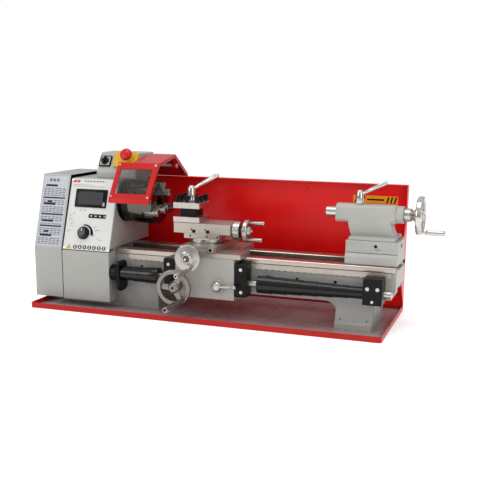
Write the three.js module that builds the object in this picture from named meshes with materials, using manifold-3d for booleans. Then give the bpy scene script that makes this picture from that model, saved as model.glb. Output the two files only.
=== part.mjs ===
// Bench metal-turning lathe, built as an assembly of separate pieces.
// Millimetres. +X towards the tailstock, +Y towards the splash guard, +Z up.
// The origin is the centre of the chip tray's underside.
import * as THREE from 'three';
import { mergeVertices } from 'three/addons/utils/BufferGeometryUtils.js';
import Module from 'manifold-3d';

const wasm = await Module();
wasm.setup();

// ---- driving dimensions -------------------------------------------------
const GAP = 0.3;
const TRAY = { halfX: 428.5, halfY: 149, rim: 13, sheet: 2 };
const GUARD = { top: 305, sheet: 2, flange: 15 };
const AXIS = { y: -5, z: 254 };
const SCREW = { y: -84, z: 90, r: 8 };
const WAY = { top: 146, under: 134, front: -68, back: 58, left: -364.8, right: 440 };
const MOTOR = { y: 97, z: 85 };
const HINGE = { y: 74, z: 338 };
const HEAD = { left: -363.5, right: -237, back: 118, top: 308 };
const COVER = { left: -441, right: -365.2, bottom: 20, top: 316, wall: 2 };
const CHUCK = { back: -225, face: -145, r: 52, bore: 13 };
const CROSS = { x: -14, z: 150 };
const SWIVEL = { x: -16, y: -20 };
const POST = { x: -56, y: -20, half: 33 };
const TOPSCREW = { y: -32, z: 201 };
const WHEEL = { x: -49, z: 80, front: -150, r: 42 };
const TAIL = { left: 324, right: 440 };
const TAU = Math.PI * 2;

// ---- solids -------------------------------------------------------------
function signedVolume(position, index) {
  const [a, b, c] = [new THREE.Vector3(), new THREE.Vector3(), new THREE.Vector3()];
  let total = 0;
  for (let i = 0; i < index.length; i += 3) {
    a.fromBufferAttribute(position, index[i]);
    b.fromBufferAttribute(position, index[i + 1]);
    c.fromBufferAttribute(position, index[i + 2]);
    total += a.dot(b.cross(c)) / 6;
  }
  return total;
}

function solid(geometry) {
  const bare = new THREE.BufferGeometry();
  bare.setAttribute('position', geometry.getAttribute('position').clone());
  if (geometry.index) bare.setIndex(geometry.index.clone());
  const merged = mergeVertices(bare, 1e-3);
  const index = merged.index.array;
  const keep = [];
  for (let i = 0; i < index.length; i += 3) {
    const [a, b, c] = [index[i], index[i + 1], index[i + 2]];
    if (a !== b && b !== c && a !== c) keep.push(a, b, c);
  }
  const position = merged.getAttribute('position');
  const triVerts = Uint32Array.from(signedVolume(position, keep) < 0 ? [...keep].reverse() : keep);
  const vertProperties = Float32Array.from(position.array);
  return new wasm.Manifold(new wasm.Mesh({ numProp: 3, vertProperties, triVerts }));
}

function join(...solids) {
  return solids.reduce((whole, next) => whole.add(next));
}

function cut(body, ...tools) {
  return tools.reduce((rest, tool) => rest.subtract(tool), body);
}

function toGeometry(body) {
  const mesh = body.getMesh();
  const geometry = new THREE.BufferGeometry();
  geometry.setAttribute('position', new THREE.BufferAttribute(Float32Array.from(mesh.vertProperties), 3));
  geometry.setIndex(new THREE.BufferAttribute(Uint32Array.from(mesh.triVerts), 1));
  geometry.computeVertexNormals();
  return geometry;
}

function box(x0, x1, y0, y1, z0, z1) {
  const geometry = new THREE.BoxGeometry(x1 - x0, y1 - y0, z1 - z0);
  geometry.translate((x0 + x1) / 2, (y0 + y1) / 2, (z0 + z1) / 2);
  return solid(geometry);
}

function lathe(profile, segments) {
  const points = profile.map(([h, r]) => new THREE.Vector2(r, h));
  return new THREE.LatheGeometry(points, segments);
}

// Profiles are [distance along the axis, radius], from low to high.
function turnX(profile, y, z, segments = 20) {
  const geometry = lathe(profile, segments);
  geometry.rotateZ(-Math.PI / 2);
  geometry.translate(0, y, z);
  return solid(geometry);
}

function turnY(profile, x, z, segments = 20) {
  const geometry = lathe(profile, segments);
  geometry.translate(x, 0, z);
  return solid(geometry);
}

function turnZ(profile, x, y, segments = 20) {
  const geometry = lathe(profile, segments);
  geometry.rotateX(Math.PI / 2);
  geometry.translate(x, y, 0);
  return solid(geometry);
}

function bar(turn, a, b, u, v, r, segments = 16) {
  return turn([[a, 0], [a, r], [b, r], [b, 0]], u, v, segments);
}

function pipe(turn, a, b, u, v, inner, outer, segments = 24) {
  return turn([[a, inner], [a, outer], [b, outer], [b, inner], [a, inner]], u, v, segments);
}

function outline(points) {
  return new THREE.Shape(points.map(([a, b]) => new THREE.Vector2(a, b)));
}

function prismZ(points, z0, z1) {
  const geometry = new THREE.ExtrudeGeometry(outline(points), { depth: z1 - z0, bevelEnabled: false });
  geometry.translate(0, 0, z0);
  return solid(geometry);
}

// Points are [y, z], swept from x0 to x1.
function prismX(points, x0, x1) {
  const geometry = new THREE.ExtrudeGeometry(outline(points), { depth: x1 - x0, bevelEnabled: false });
  geometry.applyMatrix4(new THREE.Matrix4().set(0, 0, 1, x0, 1, 0, 0, 0, 0, 1, 0, 0, 0, 0, 0, 1));
  return solid(geometry);
}

// Points are [x, z], swept from y0 to y1.
function prismY(points, y0, y1) {
  const geometry = new THREE.ExtrudeGeometry(outline(points), { depth: y1 - y0, bevelEnabled: false });
  geometry.rotateX(Math.PI / 2);
  geometry.translate(0, y1, 0);
  return solid(geometry);
}

function rounded(x0, x1, y0, y1, r, steps = 4) {
  const points = [];
  const corners = [[x1 - r, y0 + r, -0.25], [x1 - r, y1 - r, 0], [x0 + r, y1 - r, 0.25], [x0 + r, y0 + r, 0.5]];
  for (const [cx, cy, turn] of corners) {
    for (let i = 0; i <= steps; i += 1) {
      const angle = (turn + (0.25 * i) / steps) * TAU;
      points.push([cx + r * Math.cos(angle), cy + r * Math.sin(angle)]);
    }
  }
  return points;
}

function arc(cx, cy, r, from, to, steps = 5) {
  const points = [];
  for (let i = 0; i <= steps; i += 1) {
    const angle = THREE.MathUtils.degToRad(from + ((to - from) * i) / steps);
    points.push([cx + r * Math.cos(angle), cy + r * Math.sin(angle)]);
  }
  return points;
}

// A round bar from one point to another, thicker or thinner at its far end.
function rod(from, to, r0, r1, segments = 12) {
  const a = new THREE.Vector3(...from);
  const b = new THREE.Vector3(...to);
  const length = a.distanceTo(b);
  const geometry = lathe([[0, 0], [0, r0], [length, r1], [length, 0]], segments);
  const turn = new THREE.Quaternion().setFromUnitVectors(new THREE.Vector3(0, 1, 0), b.clone().sub(a).normalize());
  geometry.applyQuaternion(turn);
  geometry.translate(a.x, a.y, a.z);
  return solid(geometry);
}

function ball(x, y, z, r) {
  const geometry = new THREE.SphereGeometry(r, 10, 6);
  geometry.translate(x, y, z);
  return solid(geometry);
}

// ---- looks --------------------------------------------------------------
const LOOKS = {
  red: [0xcf1b1a, 0.35, 0.1],
  grey: [0x9b9a96, 0.5, 0.1],
  light: [0xe1e1de, 0.5, 0.0],
  black: [0x181a19, 0.4, 0.1],
  steel: [0xa09c98, 0.3, 0.95],
  iron: [0x8d8880, 0.45, 0.8],
  dark: [0x3c3d40, 0.45, 0.6],
  chrome: [0xc8c8c6, 0.15, 1.0],
  alu: [0xa19c99, 0.3, 0.9],
  brass: [0xb08d4c, 0.35, 0.9],
  yellow: [0xd8b422, 0.5, 0.0],
  glass: [0x20262a, 0.1, 0.0],
  label: [0xc8cdd7, 0.5, 0.0],
};

const machine = new THREE.Group();

function add(parent, name, body, look) {
  const [color, roughness, metalness] = LOOKS[look];
  const mesh = new THREE.Mesh(toGeometry(body), new THREE.MeshStandardMaterial({ color, roughness, metalness }));
  mesh.name = name;
  parent.add(mesh);
  return mesh;
}

// ---- base: tray, splash guard, bed --------------------------------------
function chipTray() {
  const { halfX, halfY, rim, sheet } = TRAY;
  const outer = prismZ(rounded(-halfX, halfX, -halfY, halfY, 6), 0, rim);
  const inner = prismZ(rounded(-halfX + sheet, halfX - sheet, -halfY + sheet, halfY - sheet, 4), sheet, rim + 1);
  return cut(outer, inner);
}

function splashGuard() {
  const { halfX, rim } = TRAY;
  const { top, sheet, flange } = GUARD;
  const y0 = 149 + GAP;
  const back = box(-halfX, halfX, y0, y0 + sheet, 2.5, top);
  const lip = box(-halfX, halfX, y0 + sheet - flange, y0 + sheet, top - sheet, top);
  const side = [[y0 + sheet, rim + GAP], [y0 + sheet, top], [132, top], [131, 290], [131, 216], [76, 128], [76, 112],
    [147, rim + GAP]];
  const right = prismX(side, halfX - sheet, halfX);
  return join(back, lip, right);
}

function bedSide(y0, y1) {
  const points = [
    [WAY.left, 2.3], [-127, 2.3], [-127, 35], ...arc(-102, 35, 25, 180, 90), [285, 60],
    ...arc(285, 35, 25, 90, 0), [310, 2.3], [393, 2.3], [397, 57], [415, 68], [437, 86], [440, 95],
    [440, WAY.under + 0.5], [WAY.left, WAY.under + 0.5],
  ];
  return prismY(points, y0, y1);
}

// A foot flares to its front edge, is hollow underneath, and bolts to the tray.
function foot(x0, x1, front) {
  const flare = front < -65 ? [[front, 2.3], [front, 14], [front + 6, 20]] : [[front, 2.3]];
  const profile = [...flare, [-60, 62], [50, 62], [61, 20], [67, 14], [67, 2.3]];
  const block = prismX(profile, x0, x1);
  return cut(block, box(x0 + 12, x1 - 12, -48, 38, 2, 30));
}

function bed() {
  const rail = (y0, y1) => prismX(
    [[y0 + 1.5, WAY.under], [y1 - 1.5, WAY.under], [y1, WAY.under + 1.5], [y1, WAY.top - 1.5],
      [y1 - 1.5, WAY.top], [y0 + 1.5, WAY.top], [y0, WAY.top - 1.5], [y0, WAY.under + 1.5]],
    WAY.left, WAY.right);
  const pieces = [rail(WAY.front, -36), rail(26, WAY.back), bedSide(-60, -48), bedSide(38, 50)];
  pieces.push(foot(WAY.left, -270, -62), foot(-234, -127, -62), foot(310, 393, -77));
  for (const x of [-340, -90, 30, 150, 270, 425]) {
    pieces.push(box(x - 4, x + 4, -50, 40, 70, 112));
  }
  pieces.push(box(432, 440, -50, 40, 96, WAY.under + 1));
  return join(...pieces);
}

function rack() {
  const points = [[-200, 133.6], [-200, 122]];
  const pitch = 15;
  for (let x = -200 + pitch; x < 428; x += pitch) {
    points.push([x - 9, 122], [x - 8, 120.4], [x - 3, 120.4], [x - 2, 122]);
  }
  points.push([430, 122], [430, 133.6]);
  return prismY(points, -67.5, -60.3);
}

function base(group) {
  add(group, 'chip_tray', chipTray(), 'red');
  add(group, 'splash_guard', splashGuard(), 'red');
  add(group, 'bed', bed(), 'grey');
  add(group, 'rack', rack(), 'dark');
}

// ---- headstock ----------------------------------------------------------
function headCasting() {
  const profile = [[-94, 146.3], [HEAD.back, 146.3], [HEAD.back, HEAD.top], [-38, HEAD.top]];
  const body = prismX(profile, HEAD.left, HEAD.right);
  const bore = bar(turnX, HEAD.left - 1, HEAD.right + 1, AXIS.y, AXIS.z, 27, 20);
  const hollow = box(HEAD.left + 22, HEAD.right - 22, -60, 98, 146, 222);
  return cut(body, bore, hollow);
}

function lowerCover() {
  const outer = box(HEAD.left, HEAD.right, -102, -69, 18, 139);
  const inner = box(HEAD.left - 1, HEAD.right - 2, -100, -68, 20, 137);
  const side = box(HEAD.right - 2, HEAD.right, -70, -62.5, 18, 133);
  const hole = bar(turnX, HEAD.right - 5, HEAD.right + 5, SCREW.y, SCREW.z, 10);
  return cut(join(cut(outer, inner), side), hole);
}

function gearCover() {
  const { left, right, bottom, top, wall } = COVER;
  const shell = (d) => [[-102 + d, bottom + d], [120 - d, bottom + d], [120 - d, top - d],
    [-45 + d * 0.8, top - d], [-102 + d, 142 + d * 0.3]];
  const outer = prismX(shell(0), left, right);
  const inner = prismX(shell(wall), left + wall, right + 1);
  return cut(outer, inner);
}

function bearing(x0, x1) {
  return pipe(turnX, x0, x1, AXIS.y, AXIS.z, 20.3, 26.7, 20);
}

function motor() {
  const plate = box(-357, -352.4, 64, 118, 50, 145.9);
  const shelf = box(-357, -300, 66, 118, 141, 145.9);
  const can = [[-352, 0], [-352, 24], [-348, 33], [-262, 33], [-258, 28], [-250, 28], [-246, 22], [-246, 0]];
  const body = turnX(can, MOTOR.y, MOTOR.z, 20);
  const seat = bar(turnX, -353, -345, MOTOR.y, MOTOR.z, 16);
  const bore = bar(turnX, -360, -300, MOTOR.y, MOTOR.z, 7.3, 12);
  return cut(join(body, seat, plate, shelf), bore);
}

// The arm that carries the two idler gears on its pins.
function banjo() {
  const upper = [-31.9, 198.1];
  const lower = [-64.5, 130.5];
  const arm = prismX([[-40.5, 203], [-73.5, 127], [-56, 122], [-23, 193]], -400, -396.4);
  const ends = [upper, lower].map(([y, z]) => bar(turnX, -400, -396.4, y, z, 11));
  const pins = [upper, lower].map(([y, z]) => bar(turnX, -412, -399, y, z, 4, 10));
  const leg = box(-398, WAY.left - GAP, -66, -50, 108, 131);
  return join(arm, ...ends, ...pins, leg);
}

function gear(x0, x1, y, z, r, bore) {
  return pipe(turnX, x0, x1, y, z, bore, r, 20);
}

function belt() {
  const a = { y: AXIS.y, z: AXIS.z, r: 34 };
  const b = { ...MOTOR, r: 16 };
  const tilt = Math.atan2(b.z - a.z, b.y - a.y) * (180 / Math.PI);
  const reach = Math.hypot(b.y - a.y, b.z - a.z);
  const wrap = Math.acos((a.r - b.r) / reach) * (180 / Math.PI);
  const loop = (grow) => [
    ...arc(a.y, a.z, a.r + grow, tilt + wrap, tilt + 360 - wrap, 16),
    ...arc(b.y, b.z, b.r + grow, tilt - wrap, tilt + wrap, 10),
  ];
  return cut(prismX(loop(3), -391, -376), prismX(loop(0), -392, -375));
}

function tilted(group, y, z, dy, dz) {
  const frame = new THREE.Group();
  frame.position.set(0, y, z);
  frame.rotation.x = -Math.atan2(dy, dz);
  group.add(frame);
  return frame;
}

function headstock(group) {
  add(group, 'headstock_casting', headCasting(), 'grey');
  add(group, 'lower_front_cover', lowerCover(), 'light');
  add(group, 'gear_cover', gearCover(), 'grey');
  const front = tilted(group, -99.5, 141, 57, 167);
  add(front, 'control_panel', box(HEAD.left, HEAD.right, 0, 3, 0, 176), 'light');
  add(front, 'display', box(-346, -260, -2, -GAP, 105, 150), 'glass');
  add(front, 'speed_knob', turnY([[-13, 0], [-13, 11], [-11, 13], [-2, 14], [-GAP, 14], [-GAP, 0]], -311, 42), 'black');
  add(group, 'bearing_front', bearing(-256, -240), 'steel');
  add(group, 'bearing_rear', bearing(-362, -346), 'steel');
  add(group, 'drive_motor', motor(), 'dark');
  add(group, 'motor_pulley', join(bar(turnX, -395, -302, MOTOR.y, MOTOR.z, 7, 12),
    turnX([[-393, 0], [-393, 18], [-391.3, 18], [-391.3, 15.7], [-375.7, 15.7], [-375.7, 18], [-374, 18], [-374, 0]],
      MOTOR.y, MOTOR.z, 16)), 'steel');
  add(group, 'drive_belt', belt(), 'black');
  add(group, 'banjo', banjo(), 'dark');
  add(group, 'idler_gear_upper', gear(-410, -402, -31.9, 198.1, 43.7, 4.4), 'steel');
  add(group, 'idler_gear_lower', gear(-410, -402, -64.5, 130.5, 30.6, 4.4), 'steel');
}

function switches(group) {
  const side = [[-15, HEAD.top + GAP], [84, HEAD.top + GAP], [84, 369], [14, 369], [-15, 322]];
  const bearer = bar(turnX, -205, -133, HINGE.y, HINGE.z, 4, 12);
  add(group, 'switch_box', join(prismX(side, -311, -203.5), bearer), 'grey');
  const face = tilted(group, -15, 322, 29, 47);
  const knob = turnY([[-9, 0], [-9, 9], [-GAP, 10.5], [-GAP, 0]], -293, 30, 16);
  add(face, 'rotary_switch', join(knob, box(-295.5, -290.5, -15, -7, 20, 40)), 'black');
  const yellow = join(box(-268, -205, -7, -GAP, 14, 55), bar(turnY, -12, -6, -231, 40, 8));
  add(face, 'estop_housing', cut(yellow, bar(turnY, -17, -3, -231, 40, 6.5, 12)), 'yellow');
  const mushroom = [[-29, 0], [-28, 8], [-25, 14], [-20, 15.5], [-17, 14.5], [-17, 6.1], [-8, 6.1], [-8, 0]];
  add(face, 'estop_button', turnY(mushroom, -231, 40), 'red');
}

// The polygon of a bent sheet of thickness t, from its outer bends.
function bent(points, t) {
  const inner = points.map(([y, z], i) => {
    const before = points[Math.max(i - 1, 0)];
    const after = points[Math.min(i + 1, points.length - 1)];
    const u = new THREE.Vector2(y - before[0], z - before[1]).normalize();
    const v = new THREE.Vector2(after[0] - y, after[1] - z).normalize();
    if (i === 0) u.copy(v);
    if (i === points.length - 1) v.copy(u);
    const n = new THREE.Vector2(u.y + v.y, -u.x - v.x).normalize();
    const reach = t / Math.max(n.dot(new THREE.Vector2(u.y, -u.x)), 0.5);
    return [y + n.x * reach, z + n.y * reach];
  });
  return [...points, ...inner.reverse()];
}

function chuckGuard(group) {
  const front = [[-97, 259], [-95, 270], [-39, 350]];
  const all = [...front, [58, 366], [136, 312]];
  const along = new THREE.Vector2(56, 80).normalize();
  const panel = (s0, s1, d0, d1, x0, x1) => prismX([[s0, d0], [s1, d0], [s1, d1], [s0, d1]].map(([s, d]) => (
    [-95 + along.x * s + along.y * d, 270 + along.y * s - along.x * d])), x0, x1);
  const sheet = join(prismX(bent(all, 2), -200, -131), prismX(bent(front, 2), -236.5, -199));
  const knuckles = [];
  for (const x of [-198, -145]) {
    knuckles.push(bar(turnX, x, x + 10, HINGE.y, HINGE.z, 8, 16));
    knuckles.push(box(x, x + 10, HINGE.y - 3, HINGE.y + 3, HINGE.z + 5, 354.3));
  }
  const pivot = bar(turnX, -210, -120, HINGE.y, HINGE.z, 4.3, 12);
  const body = cut(join(sheet, ...knuckles), pivot, panel(12, 82, -4, 4, -226, -142));
  add(group, 'guard_sheet', body, 'red');
  add(group, 'guard_window', panel(6, 88, 2.3, 4.3, -231, -137), 'glass');
}

// ---- spindle and chuck --------------------------------------------------
function spindle(group) {
  const nose = [[-412, 10.5], [-412, 17.7], [-396, 17.7], [-396, 20], [-393, 20], [-393, 37], [-391.3, 37],
    [-391.3, 33.7], [-375.7, 33.7], [-375.7, 37], [-374, 37], [-374, 20], [-237, 20], [-236, 30], [-226.5, 30], [-226.5, 10.5], [-412, 10.5]];
  add(group, 'spindle', turnX(nose, AXIS.y, AXIS.z), 'steel');
  add(group, 'chuck_backplate', pipe(turnX, -226.2, -209.3, AXIS.y, AXIS.z, 10.5, 50, 24), 'iron');
  add(group, 'chuck_body', chuckBody(), 'chrome');
  for (let i = 0; i < 3; i += 1) add(group, `jaw_${i + 1}`, jaw(i), 'steel');
}

// Turns a solid built round the X axis to the i-th of three places round the spindle.
function atSpindle(body, i) {
  const geometry = toGeometry(body);
  geometry.rotateX((i * TAU) / 3);
  geometry.translate(0, AXIS.y, AXIS.z);
  return solid(geometry);
}

function chuckBody() {
  const profile = [[-209, 13], [-209, 52], [-147, 52], [-145, 50], [-145, 13], [-209, 13]];
  let body = turnX(profile, AXIS.y, AXIS.z, 32);
  for (let i = 0; i < 3; i += 1) {
    const slot = join(box(-172.4, -140, -7.4, 7.4, 5, 60), box(-166, -159, -10.4, 10.4, 5, 60));
    const key = bar(turnZ, 40, 60, -190, 0, 5, 10);
    body = cut(body, atSpindle(slot, i), atSpindle(key, i + 0.5));
  }
  return body;
}

// One stepped jaw, its tongue in the chuck's slot.
function jaw(i) {
  const steps = prismX([[-7, 15], [7, 15], [7, 48], [-7, 48]], -172, -144.5);
  const tongue = box(-165.6, -159.4, -10, 10, 15, 48);
  const tip = box(-144.6, -132, -7, 7, 15, 48);
  const high = box(-132.1, -119, -7, 7, 15, 33);
  const nib = box(-119.1, -116.5, -7, 7, 15, 21);
  const bite = prismX([[-7.1, 14], [7.1, 14], [7.1, 19], [0, 15.2], [-7.1, 19]], -173, -116);
  return atSpindle(cut(join(steps, tongue, tip, high, nib), bite), i);
}

// ---- lead screw ---------------------------------------------------------
function steppedCover(x0, x1, r0, r1, inner, steps) {
  const profile = [[x0, inner]];
  for (let i = 0; i < steps; i += 1) {
    const a = x0 + ((x1 - x0) * i) / steps;
    const b = x0 + ((x1 - x0) * (i + 1)) / steps;
    const r = r0 + ((r1 - r0) * i) / (steps - 1);
    profile.push([a, r], [b, r]);
  }
  profile.push([x1, inner], [x0, inner]);
  return turnX(profile, SCREW.y, SCREW.z, 20);
}

function leadScrew(group) {
  const shaft = bar(turnX, -412, 436, SCREW.y, SCREW.z, SCREW.r, 16);
  const drive = bar(turnX, -410, -402, SCREW.y, SCREW.z, 13.6, 20);
  add(group, 'lead_screw', join(shaft, drive), 'steel');
  const left = prismX(rounded(-104, -60.3, 47, 120, 14), -217, -209);
  add(group, 'lead_screw_plate', cut(left, bar(turnX, -220, -205, SCREW.y, SCREW.z, 8.3)), 'black');
  const block = join(box(376, 418, -104, -68.5, 68, 126), box(372, 418, -70, -60.3, 72, 114));
  const hole = bar(turnX, 370, 420, SCREW.y, SCREW.z, 8.3);
  add(group, 'lead_screw_bracket', cut(block, hole), 'dark');
  add(group, 'screw_cover_left', steppedCover(-208.5, -112, 17.5, 19.5, 9.5, 3), 'black');
  add(group, 'screw_cover_right', steppedCover(134, 375.5, 20, 13.5, 9.5, 7), 'black');
}

// ---- carriage -----------------------------------------------------------
function saddle() {
  const wing = box(-58, 97, -104, -36, 146.3, 157);
  const bridge = box(-40, 72, -40, 66, 146.3, 157);
  const tongue = prismY([[-30, 156.5], [13, 156.5], [18, 163], [-35, 163]], -104, 66);
  const keeper = join(box(-38, 70, 58.4, 66, 126, 147), box(-38, 70, 51, 60, 126, 133.6));
  const boss = box(CROSS.x - 7, CROSS.x + 7, -111, -103, 146.3, 157);
  const slot = box(CROSS.x - 7, CROSS.x + 7, -72, 61, 145, 164);
  const hole = bar(turnY, -112, -60, CROSS.x, CROSS.z, 3.5, 12);
  const rear = bar(turnY, 50, 67, CROSS.x, CROSS.z, 3.5, 12);
  return cut(join(wing, bridge, tongue, keeper, boss), slot, hole, rear);
}

function apron() {
  const outer = box(-62, 82, -104, -69.2, 51, 145.9);
  const cavity = box(-58, 78, -98, -60, 56, 150);
  const boss = bar(turnY, -118, -97, WHEEL.x, WHEEL.z, 11);
  const nut = bar(turnY, -109, -97, 43, 82, 10);
  const body = join(cut(outer, cavity), boss, nut);
  const screwWay = bar(turnX, -70, 90, SCREW.y, SCREW.z, 9);
  const shaft = bar(turnY, -120, -90, WHEEL.x, WHEEL.z, 6.3, 12);
  const pinionHole = bar(turnY, -103, -90, -20, 110.5, 5.3, 12);
  const nutHole = bar(turnY, -110, -90, 43, 82, 5.3, 12);
  return cut(body, screwWay, shaft, pinionHole, nutHole);
}

function apronWheel() {
  const { x, z, front, r } = WHEEL;
  const rim = pipe(turnY, front, front + 12, x, z, r - 9, r, 24);
  let wheel = join(rim, bar(turnY, front + 5, front + 9, x, z, r - 8, 24));
  for (const a of [0, 120, 240]) {
    const opening = [...arc(x, z, r - 10, a - 42, a + 42, 7), ...arc(x, z, 15, a + 34, a - 34, 4)];
    wheel = cut(wheel, prismY(opening, front - 5, front + 20));
  }
  const hub = turnY([[front - 2, 0], [front - 2, 9], [front + 8, 13], [-118.3, 13], [-118.3, 0]], x, z, 20);
  const shaft = bar(turnY, -119, -93, x, z, 6, 12);
  const pinion = bar(turnY, -96.7, -93, x, z, 7.8, 12);
  const neck = rod([x + 25, front + 4, z - 26], [x + 25, front - 14, z - 26], 4.5, 4.5, 10);
  const grip = rod([x + 25, front - 12, z - 26], [x + 25, front - 100, z - 26], 6.2, 7, 12);
  return join(wheel, hub, shaft, pinion, neck, grip);
}

function halfNutLever() {
  const hub = turnY([[-119, 0], [-119, 9], [-116, 12.5], [-109.3, 12.5], [-109.3, 0]], 43, 82, 16);
  const arm = rod([50, -115, 82.5], [84, -118, 84.5], 4.6, 3.4, 10);
  const shaft = bar(turnY, -110, -96, 43, 82, 5, 12);
  return join(hub, arm, ball(87, -118, 84.7, 5.6), shaft);
}

function halfNut(top) {
  const block = box(30, 60, -92.5, -70, top ? 90.8 : 62, top ? 118 : 89.2);
  return cut(block, bar(turnX, 20, 70, SCREW.y, SCREW.z, 8.6));
}

function coverBracket(x0, x1) {
  const plate = box(x0, x1, -104, -70, 60, 138);
  return cut(plate, bar(turnX, x0 - 1, x1 + 1, SCREW.y, SCREW.z, 9));
}

function carriage(group) {
  add(group, 'saddle', saddle(), 'iron');
  add(group, 'apron', apron(), 'grey');
  add(group, 'cover_bracket_right', coverBracket(82.3, 112), 'black');
  add(group, 'cover_bracket_left', coverBracket(-92, -62.3), 'black');
  add(group, 'apron_wheel', apronWheel(), 'alu');
  const gearDisc = bar(turnY, -96.7, -93, -20, 110.5, 33.9, 20);
  const pinion = join(gearDisc, bar(turnY, -102.5, -69, -20, 110.5, 5, 12), bar(turnY, -69.5, -61, -20, 110.5, 9, 16));
  add(group, 'rack_pinion', pinion, 'steel');
  add(group, 'half_nut_lever', halfNutLever(), 'alu');
  add(group, 'half_nut_upper', halfNut(true), 'brass');
  add(group, 'half_nut_lower', halfNut(false), 'brass');
}

function wheelDisc(front, x, z, r) {
  return turnY([[front, 0], [front, 9], [front + 4, 11], [front + 4, r - 3], [front + 2, r - 1.5], [front + 4, r],
    [front + 10, r], [front + 12, r - 3], [front + 9, 12], [front + 14, 10], [front + 14, 0]], x, z, 22);
}

function crossFeed(group) {
  const plate = box(-52, 35, -98, 62, 157.5, 170);
  const groove = prismY([[-30.5, 157], [13.5, 157], [18.6, 163.4], [-35.6, 163.4]], -99, 63);
  const nut = box(CROSS.x - 6.4, CROSS.x + 6.4, -8, 14, 146.8, 164);
  const end = box(19.5, 34, -108, -97.5, 158.5, 170);
  const slide = cut(join(cut(plate, groove), nut, end), bar(turnY, -10, 20, CROSS.x, CROSS.z, 3.5, 12));
  add(group, 'cross_slide', cut(slide, bar(turnZ, 164.5, 175, SWIVEL.x, SWIVEL.y, 8.3)), 'iron');
  const shaft = bar(turnY, -160, 60, CROSS.x, CROSS.z, 3.2, 12);
  const dial = turnY([[-138, 0], [-138, 10], [-130, 14.5], [-112, 14.5], [-112, 0]], CROSS.x, CROSS.z, 20);
  add(group, 'cross_screw', join(shaft, dial), 'steel');
  const disc = cut(wheelDisc(-154, CROSS.x, CROSS.z, 31), bar(turnY, -170, -130, CROSS.x, CROSS.z, 3.5, 12));
  const grip = join(rod([CROSS.x + 8, -147, 126], [CROSS.x + 8, -162, 126], 3.6, 3.6, 10),
    rod([CROSS.x + 8, -160, 126], [CROSS.x + 8, -230, 126], 5.6, 6.4, 12));
  add(group, 'cross_wheel', join(disc, grip), 'alu');
}

// ---- top slide and tool post --------------------------------------------
function swivelBase() {
  const disc = bar(turnZ, 170.3, 181, SWIVEL.x, SWIVEL.y, 41, 24);
  const block = box(-60, 28, -57, 17, 180.5, 192);
  const tongue = prismX([[-34, 191.5], [-6, 191.5], [-1, 199], [-39, 199]], -60, 28);
  const stud = bar(turnZ, 165, 171, SWIVEL.x, SWIVEL.y, 8);
  const bore = box(-61, 30, TOPSCREW.y - 4, TOPSCREW.y + 4, 195, 200);
  return cut(join(disc, block, tongue, stud), bore);
}

function topSlide() {
  const plate = box(-86, 55, -57, 17, 192.3, 216);
  const groove = prismX([[-34.4, 192], [-5.6, 192], [-0.6, 199.4], [-39.4, 199.4]], -87, 36);
  const clear = box(-87, 36, TOPSCREW.y - 4, TOPSCREW.y + 4, 195, 204.5);
  const hole = bar(turnX, 20, 60, TOPSCREW.y, TOPSCREW.z, 3.5, 12);
  const stud = bar(turnZ, 215, 291, POST.x, POST.y, 6, 12);
  return join(cut(plate, groove, clear, hole), stud);
}

function topFeed() {
  const shaft = bar(turnX, -40, 101, TOPSCREW.y, TOPSCREW.z, 3.2, 12);
  const dial = turnX([[55.3, 0], [55.3, 19], [58, 21], [73, 21], [75, 14], [75, 0]], TOPSCREW.y, TOPSCREW.z, 22);
  return join(shaft, dial);
}

function topWheel() {
  const disc = turnX([[80, 0], [80, 10], [82, 24], [84, 26.5], [92, 26.5], [94, 24], [90, 11], [98, 9], [98, 0]],
    TOPSCREW.y, TOPSCREW.z, 22);
  const hole = bar(turnX, 70, 110, TOPSCREW.y, TOPSCREW.z, 3.5, 12);
  const pieces = [cut(disc, hole)];
  for (const [dy, dz] of [[9, 18], [-9, -18]]) {
    const y = TOPSCREW.y + dy;
    const z = TOPSCREW.z + dz;
    pieces.push(rod([88, y, z], [100, y, z], 3, 3, 8), rod([98, y, z], [128, y, z], 4, 5, 10));
  }
  return join(...pieces);
}

function toolPost() {
  const { x, y, half } = POST;
  const plate = (h, z0, z1) => box(x - h, x + h, y - h, y + h, z0, z1);
  const body = join(plate(half, 216.3, 229), plate(20, 228, 250), plate(half, 249, 262.5));
  return cut(body, bar(turnZ, 210, 270, x, y, 6.4));
}

function toolLever() {
  const { x, y } = POST;
  const hub = turnZ([[262.8, 0], [262.8, 12], [284, 11], [298, 8.5], [300, 0]], x, y, 16);
  const hollow = bar(turnZ, 260, 292, x, y, 6.4);
  const arm = join(rod([x + 6, y, 294], [x + 64, y, 325.5], 3.8, 5.4, 10), ball(x + 64, y, 325.5, 5.5));
  return join(cut(hub, hollow), arm);
}

function compound(group) {
  add(group, 'swivel_base', swivelBase(), 'iron');
  add(group, 'top_slide', topSlide(), 'iron');
  add(group, 'top_screw', topFeed(), 'steel');
  add(group, 'top_wheel', topWheel(), 'alu');
  add(group, 'tool_post', toolPost(), 'steel');
  add(group, 'tool_lever', toolLever(), 'chrome');
}

// ---- tailstock ----------------------------------------------------------
function tailBase() {
  const profile = [[-58, 146.3], [-58, 164], [-52, 172], [-52, 199], [42, 199], [42, 172], [48, 164], [48, 146.3]];
  const body = prismX([...profile].reverse(), TAIL.left, TAIL.right);
  const tenon = box(TAIL.left + 6, TAIL.right - 6, -35.5, 25.5, 139, 147);
  return cut(join(body, tenon), bar(turnZ, 130, 201, 380, -5, 6.4, 12));
}

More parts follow.
